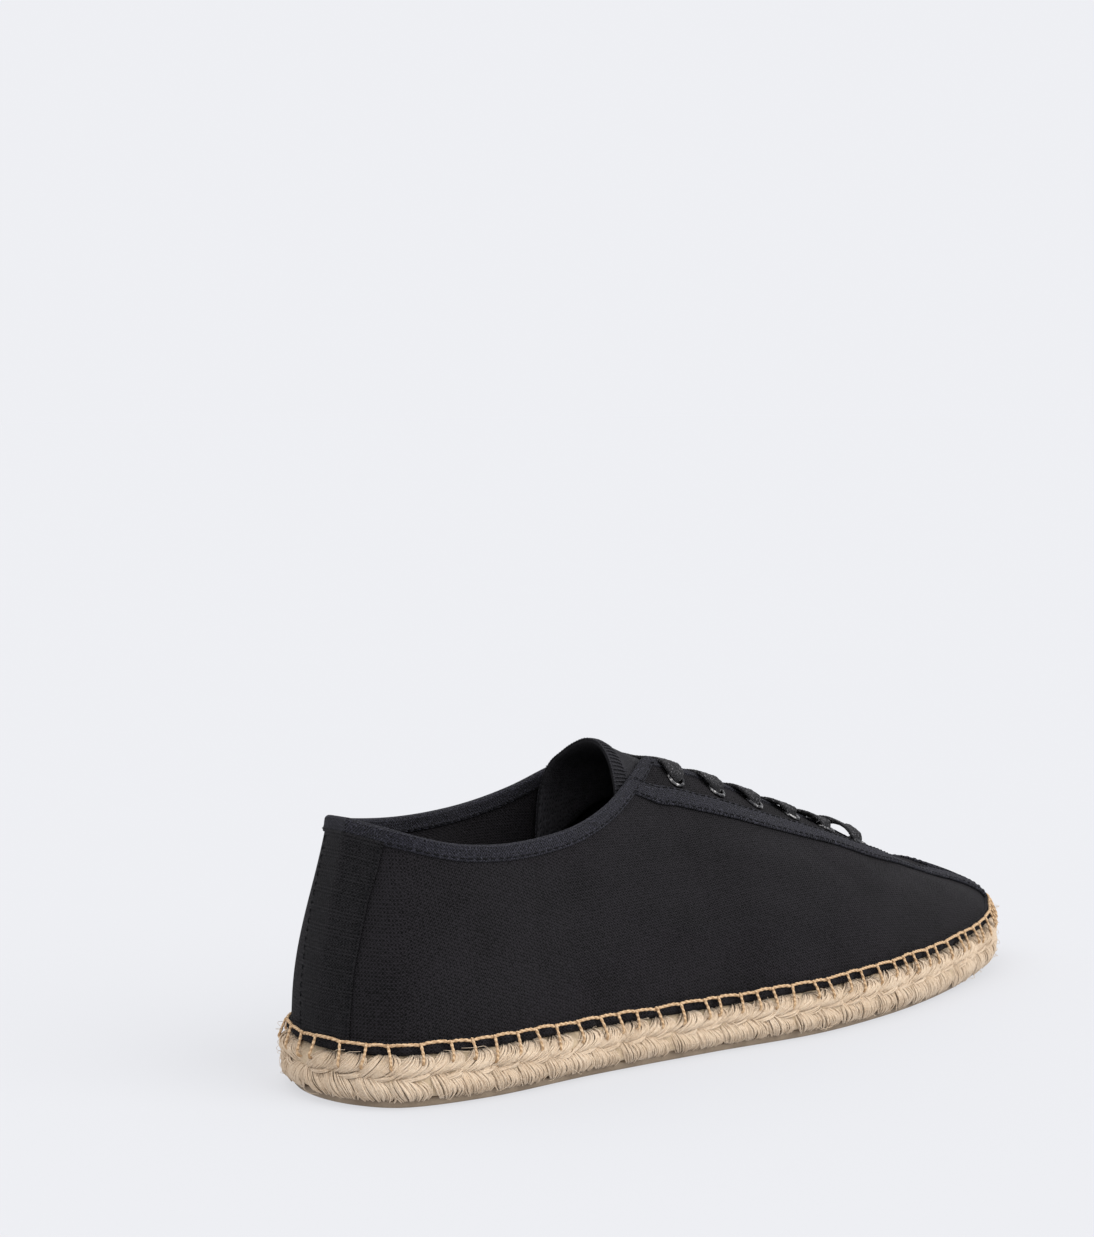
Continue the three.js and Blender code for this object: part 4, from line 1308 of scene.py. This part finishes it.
def make_lace(cloth):
    """The flat lace: six bars through the eyelets and the hidden runs between them."""
    for number, (lift_over, slack) in enumerate(zip(LACE_CROWNS, LACE_SLACK), 1):
        lateral, medial = (eyelet_of(side, number) for side in (-1, 1))
        rows = LACE_RISE + [(h + slack * s, s, w, t) for h, s, w, t in LACE_OVER]
        left = rise_points(lateral, rows)
        right = rise_points(medial, rows)[::-1]
        crown = (left[-1][0] + right[0][0]) / 2 + (0, 0, lift_over)
        places, wide, thick = zip(*left, (crown, LACE_HALF_WIDTH, LACE_HALF_THICK), *right)
        share = np.linspace(0, 1, 90)
        knots = np.linspace(0, 1, len(places))
        sizes = [np.interp(share, knots, size) for size in (wide, thick)]
        width_way = unit(np.cross(medial[2] - lateral[2], lateral[3] + medial[3]))
        points, faces, uv = band(spline(places)(share), width_way, *sizes, number)
        build(f"lace_{number}", points, faces, cloth, "lace", uv, stands_for=[f"lace_bar_{number}"])
    parts = []
    uvs = []
    for side, runs in LACE_RUNS.items():
        for k, (a, b) in enumerate(runs):
            ring = np.linspace(eyelet_of(side, a)[0], eyelet_of(side, b)[0], HIDDEN_STEPS)
            bulge = np.sin(np.linspace(0, np.pi, HIDDEN_STEPS)) * (a - b - 1)
            path, normal = skin(ring, up_below(ring, 7.5 + 1.5 * bulge), -CANVAS_WALL - 1.0)
            width_way = unit(np.cross(normal[5], path[-1] - path[0]))
            sizes = [np.full(HIDDEN_STEPS, size) for size in (3.0, 0.5)]
            points, faces, uv = band(path, width_way, *sizes, 20 + k)
            parts.append((points, faces))
            uvs.append(uv)
    build_joined("lace_hidden_runs", parts, cloth, "lace", np.vstack(uvs))


# ---------------------------------------------------------------- materials
BAND_SCALE = 0.31416  # the wave texture's scale at a pitch of 1


class Shade:
    """A material's nodes, with short calls to add and link them."""

    def __init__(self, name):
        self.material = bpy.data.materials.new(name)
        self.material.use_nodes = True
        self.tree = self.material.node_tree
        self.shader = self.tree.nodes["Principled BSDF"]

    def node(self, kind, inputs=None, **settings):
        """A new node with its settings, and its inputs linked or given values."""
        made = self.tree.nodes.new("ShaderNode" + kind)
        for key, value in settings.items():
            setattr(made, key, value)
        for key, value in (inputs or {}).items():
            self.plug(made.inputs[key], value)
        return made

    def plug(self, socket, value):
        """Links a socket to another, or gives it a value."""
        if isinstance(value, bpy.types.NodeSocket):
            self.tree.links.new(value, socket)
        else:
            socket.default_value = value

    def set(self, **values):
        """Links or sets the shader's own sockets, named with _ for each space."""
        for key, value in values.items():
            self.plug(self.shader.inputs[key.replace("_", " ")], value)

    def uv(self):
        """The piece's weave coordinates."""
        return self.node("UVMap", uv_map="UVMap").outputs["UV"]

    def millimetres(self):
        """The place on the shoe in millimetres."""
        place = self.node("TexCoord").outputs["Object"]
        scaled = self.node("VectorMath", {0: place, "Scale": 1000.0}, operation="SCALE")
        return scaled.outputs["Vector"]

    def noise(self, vector, scale, detail=3.0, rough=0.55):
        """Noise from 0 to 1."""
        made = self.node("TexNoise", {"Vector": vector, "Scale": scale, "Detail": detail, "Roughness": rough})
        return made.outputs["Fac"]

    def bands(self, vector, pitch, axis, distortion=0.0):
        """Waves from 0 to 1 with a pitch along one axis."""
        scale = BAND_SCALE / pitch
        inputs = {"Vector": vector, "Scale": scale, "Distortion": distortion, "Detail Scale": 3.0}
        made = self.node("TexWave", inputs, bands_direction=axis)
        return made.outputs["Fac"]

    def math(self, operation, a, b=0.0):
        """One operation on two values."""
        return self.node("Math", {0: a, 1: b}, operation=operation).outputs[0]

    def sum(self, *terms):
        """The sum of values, each given with its share."""
        scaled = [self.math("MULTIPLY", value, share) for value, share in terms]
        total = scaled[0]
        for term in scaled[1:]:
            total = self.math("ADD", total, term)
        return total

    def ramp(self, fac, *stops):
        """A colour between stops, each a position and a colour."""
        made = self.node("ValToRGB", {"Fac": fac})
        elements = made.color_ramp.elements
        elements[0].position, elements[0].color = stops[0][0], (*stops[0][1], 1)
        elements[1].position, elements[1].color = stops[-1][0], (*stops[-1][1], 1)
        for position, colour in stops[1:-1]:
            elements.new(position).color = (*colour, 1)
        return made.outputs["Color"]

    def bump(self, height, distance):
        """A normal from a height, with the relief's depth in millimetres."""
        inputs = {"Height": height, "Distance": distance / 1000, "Strength": 1.0}
        return self.node("Bump", inputs).outputs["Normal"]


CLOTH_SPECULAR = 0.12


def woven(name, dark, light, pitch, depth, sheen, flecks=None):
    """A plain-woven cloth on the UV map, with uneven threads, slubs and soft wear; its colour darkens where
    the weave lies low, which is painted shade in the valleys between threads.
    """
    s = Shade(name)
    uv = s.uv()
    wobble = s.noise(uv, 0.9, 2.0)
    aside = s.node("CombineXYZ", {0: wobble, 1: wobble}).outputs[0]
    shifted = s.node("VectorMath", {0: uv, 1: aside}, operation="ADD").outputs[0]
    warp = s.bands(shifted, pitch, "X")
    weft = s.bands(shifted, pitch, "Y")
    cross = s.math("MULTIPLY", warp, weft)
    either = s.math("MAXIMUM", s.math("MULTIPLY", warp, 0.8), weft)
    weave = s.math("SUBTRACT", either, s.math("MULTIPLY", cross, 0.6))
    slub = s.noise(uv, 0.72, 4.0, 0.75)
    height = s.math("ADD", weave, s.math("MULTIPLY", slub, 0.9))
    patches = s.noise(uv, 0.05, 3.0)
    threads = s.sum((weave, 0.9), (slub, 1.3))
    blend = s.math("MULTIPLY", threads, s.math("ADD", s.math("MULTIPLY", patches, 0.5), 0.6))
    # The colour follows the weave's height: its dark stop is painted shade in the valleys between threads,
    # and the slubs and patches add uneven thread tone.
    colour = s.ramp(s.math("MULTIPLY", blend, 0.75), (0.46, dark), (0.76, light))
    if flecks:
        scale, rarity, fleck = flecks
        lit = s.math("GREATER_THAN", s.noise(uv, scale, 2.0, 0.8), rarity)
        # Sockets 6 and 7 of the mix are its two colours.
        colour = s.node("Mix", {0: lit, 6: colour, 7: (*fleck, 1)}, data_type="RGBA").outputs[2]
    s.set(Base_Color=colour, Roughness=0.92, Normal=s.bump(height, depth))
    s.set(Sheen_Weight=sheen, Sheen_Roughness=0.5, Specular_IOR_Level=CLOTH_SPECULAR)
    return s.material


def thread_material(name, dark, light, pitch, rough=0.7):
    """Twisted sewing thread."""
    s = Shade(name)
    place = s.millimetres()
    lay = s.bands(place, pitch, "DIAGONAL", 1.5)
    fuzz = s.noise(place, 3.0, 4.0, 0.7)
    blend = s.sum((lay, 0.5), (fuzz, 0.6))
    s.set(Base_Color=s.ramp(blend, (0.2, dark), (0.85, light)), Roughness=rough)
    s.set(Normal=s.bump(blend, 0.12), Specular_IOR_Level=CLOTH_SPECULAR)
    return s.material


def jute_material(name, dark, middle, light):
    """Raw jute: pale fibres, browner in places, each with its own tone."""
    s = Shade(name)
    place = s.millimetres()
    strand = s.noise(place, 1.1, 3.0, 0.7)
    fine = s.noise(place, 5.5, 4.0, 0.75)
    wide = s.noise(place, 0.09, 2.0)
    blend = s.sum((strand, 0.55), (fine, 0.35), (s.math("SUBTRACT", wide, 0.5), 0.35))
    s.set(Base_Color=s.ramp(blend, (0.22, dark), (0.42, middle), (0.66, light)), Roughness=0.8)
    s.set(Normal=s.bump(fine, 0.16), Specular_IOR_Level=0.2, Sheen_Weight=0.15)
    return s.material


def rubber_material():
    """Thin natural rubber: matt, a little grimy, with fine grain and scuffs."""
    s = Shade("rubber_tan")
    place = s.millimetres()
    grain = s.noise(place, 2.6, 5.0, 0.7)
    stain = s.noise(place, 0.16, 4.0)
    blend = s.sum((grain, 0.4), (stain, 0.6))
    s.set(Base_Color=s.ramp(blend, (0.3, (0.17, 0.125, 0.085)), (0.7, (0.31, 0.24, 0.17))))
    s.set(Roughness=s.ramp(grain, (0.2, (0.55,) * 3), (0.8, (0.85,) * 3)), Normal=s.bump(grain, 0.15))
    s.set(Specular_IOR_Level=0.3)
    return s.material


def metal_material():
    """Gunmetal plate worn to bright metal in patches."""
    s = Shade("gunmetal_worn")
    place = s.millimetres()
    wear = s.noise(place, 0.9, 4.0, 0.65)
    scratch = s.noise(place, 6.0, 3.0, 0.8)
    blend = s.sum((wear, 0.75), (scratch, 0.25))
    s.set(Base_Color=s.ramp(blend, (0.50, (0.030, 0.030, 0.032)), (0.63, (0.42, 0.41, 0.40))), Metallic=1.0)
    s.set(Roughness=s.ramp(scratch, (0.3, (0.22,) * 3), (0.7, (0.42,) * 3)), Normal=s.bump(scratch, 0.03))
    return s.material


# Colours of each cloth's valleys and threads: the darker valleys are painted shade between the threads.
BLACK = ((0.0005, 0.0004, 0.0005), (0.0168, 0.0148, 0.0174))
INK = ((0.0008, 0.0008, 0.0014), (0.0175, 0.0170, 0.0250))
RIBBED = ((0.0005, 0.0004, 0.0006), (0.0152, 0.0142, 0.0158))
# The tongue's colours are lighter than the black canvas's: painted light that lifts the shade inside the
# shoe.
TONGUE_GREY_PAINTED_LIGHT = ((0.0090, 0.0088, 0.0098), (0.0330, 0.0322, 0.0355))
LACE_BLACK = ((0.0015, 0.0015, 0.0016), (0.022, 0.0215, 0.023))
# Flecks: scale, rarity and colour.
TAPE_FLECKS = (1.3, 0.58, (0.044, 0.043, 0.058))
LACE_FLECKS = (1.4, 0.61, (0.15, 0.145, 0.15))
# Threads and jute, from dark to light.
BLACK_THREAD = ((0.0005, 0.0005, 0.0007), (0.0060, 0.0060, 0.0075))
GREY_THREAD = ((0.003, 0.003, 0.004), (0.036, 0.035, 0.040))
TAN_THREAD = ((0.34, 0.205, 0.105), (0.66, 0.47, 0.29))
RAW_JUTE = ((0.45, 0.32, 0.20), (0.62, 0.48, 0.34), (0.75, 0.62, 0.475))
# The core's jute is darker than the strands': painted shade for the gaps between the braid's bundles, where
# only the core shows.
CORE_JUTE_PAINTED_SHADE = ((0.32, 0.22, 0.13), (0.50, 0.38, 0.25), (0.60, 0.48, 0.33))


def make_materials():
    """Every material of the shoe, by name."""
    return {
        "canvas": woven("canvas_black", *BLACK, 1.1, 0.7, 0.02),
        "tape": woven("tape_ink", *INK, 1.0, 0.8, 0.05, TAPE_FLECKS),
        "ribbed": woven("grosgrain_black", *RIBBED, 0.95, 0.45, 0.02),
        "footbed": woven("footbed_black", *BLACK, 0.9, 0.12, 0.05),
        # painted light: the tongue's cloth is lighter than the canvas to lift the shade inside the shoe
        "tongue": woven("tongue_black_painted_light", *TONGUE_GREY_PAINTED_LIGHT, 0.75, 0.3, 0.0),
        "lace": woven("lace_black", *LACE_BLACK, 0.8, 0.3, 0.06, LACE_FLECKS),
        "thread": thread_material("thread_black", *BLACK_THREAD, 0.5),
        "overlock": thread_material("overlock_black", *GREY_THREAD, 0.5),
        "cord": thread_material("thread_tan", *TAN_THREAD, 0.9, 0.75),
        "jute": jute_material("jute_raw", *RAW_JUTE),
        "core": jute_material("jute_core_painted_shade", *CORE_JUTE_PAINTED_SHADE),
        "rubber": rubber_material(),
        "metal": metal_material(),
    }


# ---------------------------------------------------------------- camera, floor and light
# The camera's place and directions in the row frame, in metres, at the photograph's viewpoint.
CAMERA_PLACE = (-0.592507, -0.597947, 0.195893)
CAMERA_RIGHT = (0.746196, -0.665700, -0.005953)
CAMERA_UP = (0.057791, 0.055867, 0.996764)
CAMERA_AHEAD = (0.663213, 0.744126, -0.080159)
LENS = 77.41
# The pale tone of floor and sky.
PAPER = (0.858, 0.866, 0.900)
SUNS = [
    # name, direction the light comes from, irradiance, angular size in degrees
    ("key", (0.35, -0.95, 0.80), 2.2, 50),
    ("fill", (-0.80, -0.35, 1.00), 0.55, 60),
    ("back", (-0.10, 0.80, 1.20), 0.6, 60),
]
FLOOR_GLOW = 0.68  # the share of the floor's tone that no shadow takes away
FLOOR_REACH = 30.0


def make_camera():
    """The photograph's viewpoint."""
    data = bpy.data.cameras.new("camera")
    data.lens = LENS
    data.sensor_width = 36.0
    data.sensor_fit = "AUTO"
    data.clip_start = 0.01
    data.clip_end = 100
    camera = placed("camera", data)
    rows = zip(CAMERA_RIGHT, CAMERA_UP, [-value for value in CAMERA_AHEAD], CAMERA_PLACE)
    camera.matrix_world = Matrix([*rows, (0, 0, 0, 1)])
    bpy.context.scene.camera = camera


def make_lights():
    """Soft suns and an even pale sky, so that the floor is one tone out to the horizon."""
    level = 0.0
    for name, way, strength, size in SUNS:
        data = bpy.data.lights.new(name, "SUN")
        data.energy = strength
        data.angle = math.radians(size)
        light = placed(name, data)
        light.rotation_mode = "QUATERNION"
        light.rotation_quaternion = Vector(way).to_track_quat("Z", "Y")
        level += strength * Vector(way).normalized().z
    world = bpy.data.worlds.new("sky")
    world.use_nodes = True
    sky = world.node_tree.nodes["Background"]
    sky.inputs["Color"].default_value = (*PAPER, 1)
    sky.inputs["Strength"].default_value = 1.0
    bpy.context.scene.world = world
    bpy.context.scene.view_settings.view_transform = "Standard"
    return level / math.pi


def make_floor(sun_level):
    """A plain pale floor whose lit tone matches the sky, and which keeps only soft contact shadows."""
    s = Shade("floor_paper")
    place = s.node("TexCoord").outputs["Object"]
    tone = [(1 - FLOOR_GLOW) * c / (c + sun_level) for c in PAPER]
    stops = ((0.3, [c * 0.997 for c in tone]), (0.7, [c * 1.003 for c in tone]))
    s.set(Base_Color=s.ramp(s.noise(place, 9.0, 3.0), *stops))
    s.set(Roughness=1.0, Specular_IOR_Level=0.0, Emission_Color=(*PAPER, 1), Emission_Strength=FLOOR_GLOW)
    mesh = bpy.data.meshes.new("floor")
    corners = [(FLOOR_REACH * x, FLOOR_REACH * y, 0) for x, y in ((-1, -1), (1, -1), (1, 1), (-1, 1))]
    mesh.from_pydata(corners, [], [(0, 1, 2, 3)])
    mesh.materials.append(s.material)
    floor = placed("floor", mesh)


def make_shoe():
    """Every piece of the shoe, with its material."""
    looks = make_materials()
    tree = canvas_tree()
    make_canvas(looks["canvas"])
    make_binding(looks["tape"])
    binding_stitches(looks["thread"])
    make_heel_strip(looks["ribbed"], looks["thread"])
    for side in (-1, 1):
        make_tape(tree, looks["tape"], looks["thread"], side)
    make_rim_band(looks["canvas"])
    make_blanket_stitch(looks["cord"])
    make_braid(looks["jute"], looks["core"])
    make_fibres(looks["jute"])
    make_rubber(looks["rubber"])
    make_insole(looks["footbed"])
    make_tongue(looks["tongue"], looks["overlock"])
    make_eyelets(looks["metal"])
    make_lace(looks["lace"])


make_camera()
make_floor(make_lights())
make_shoe()
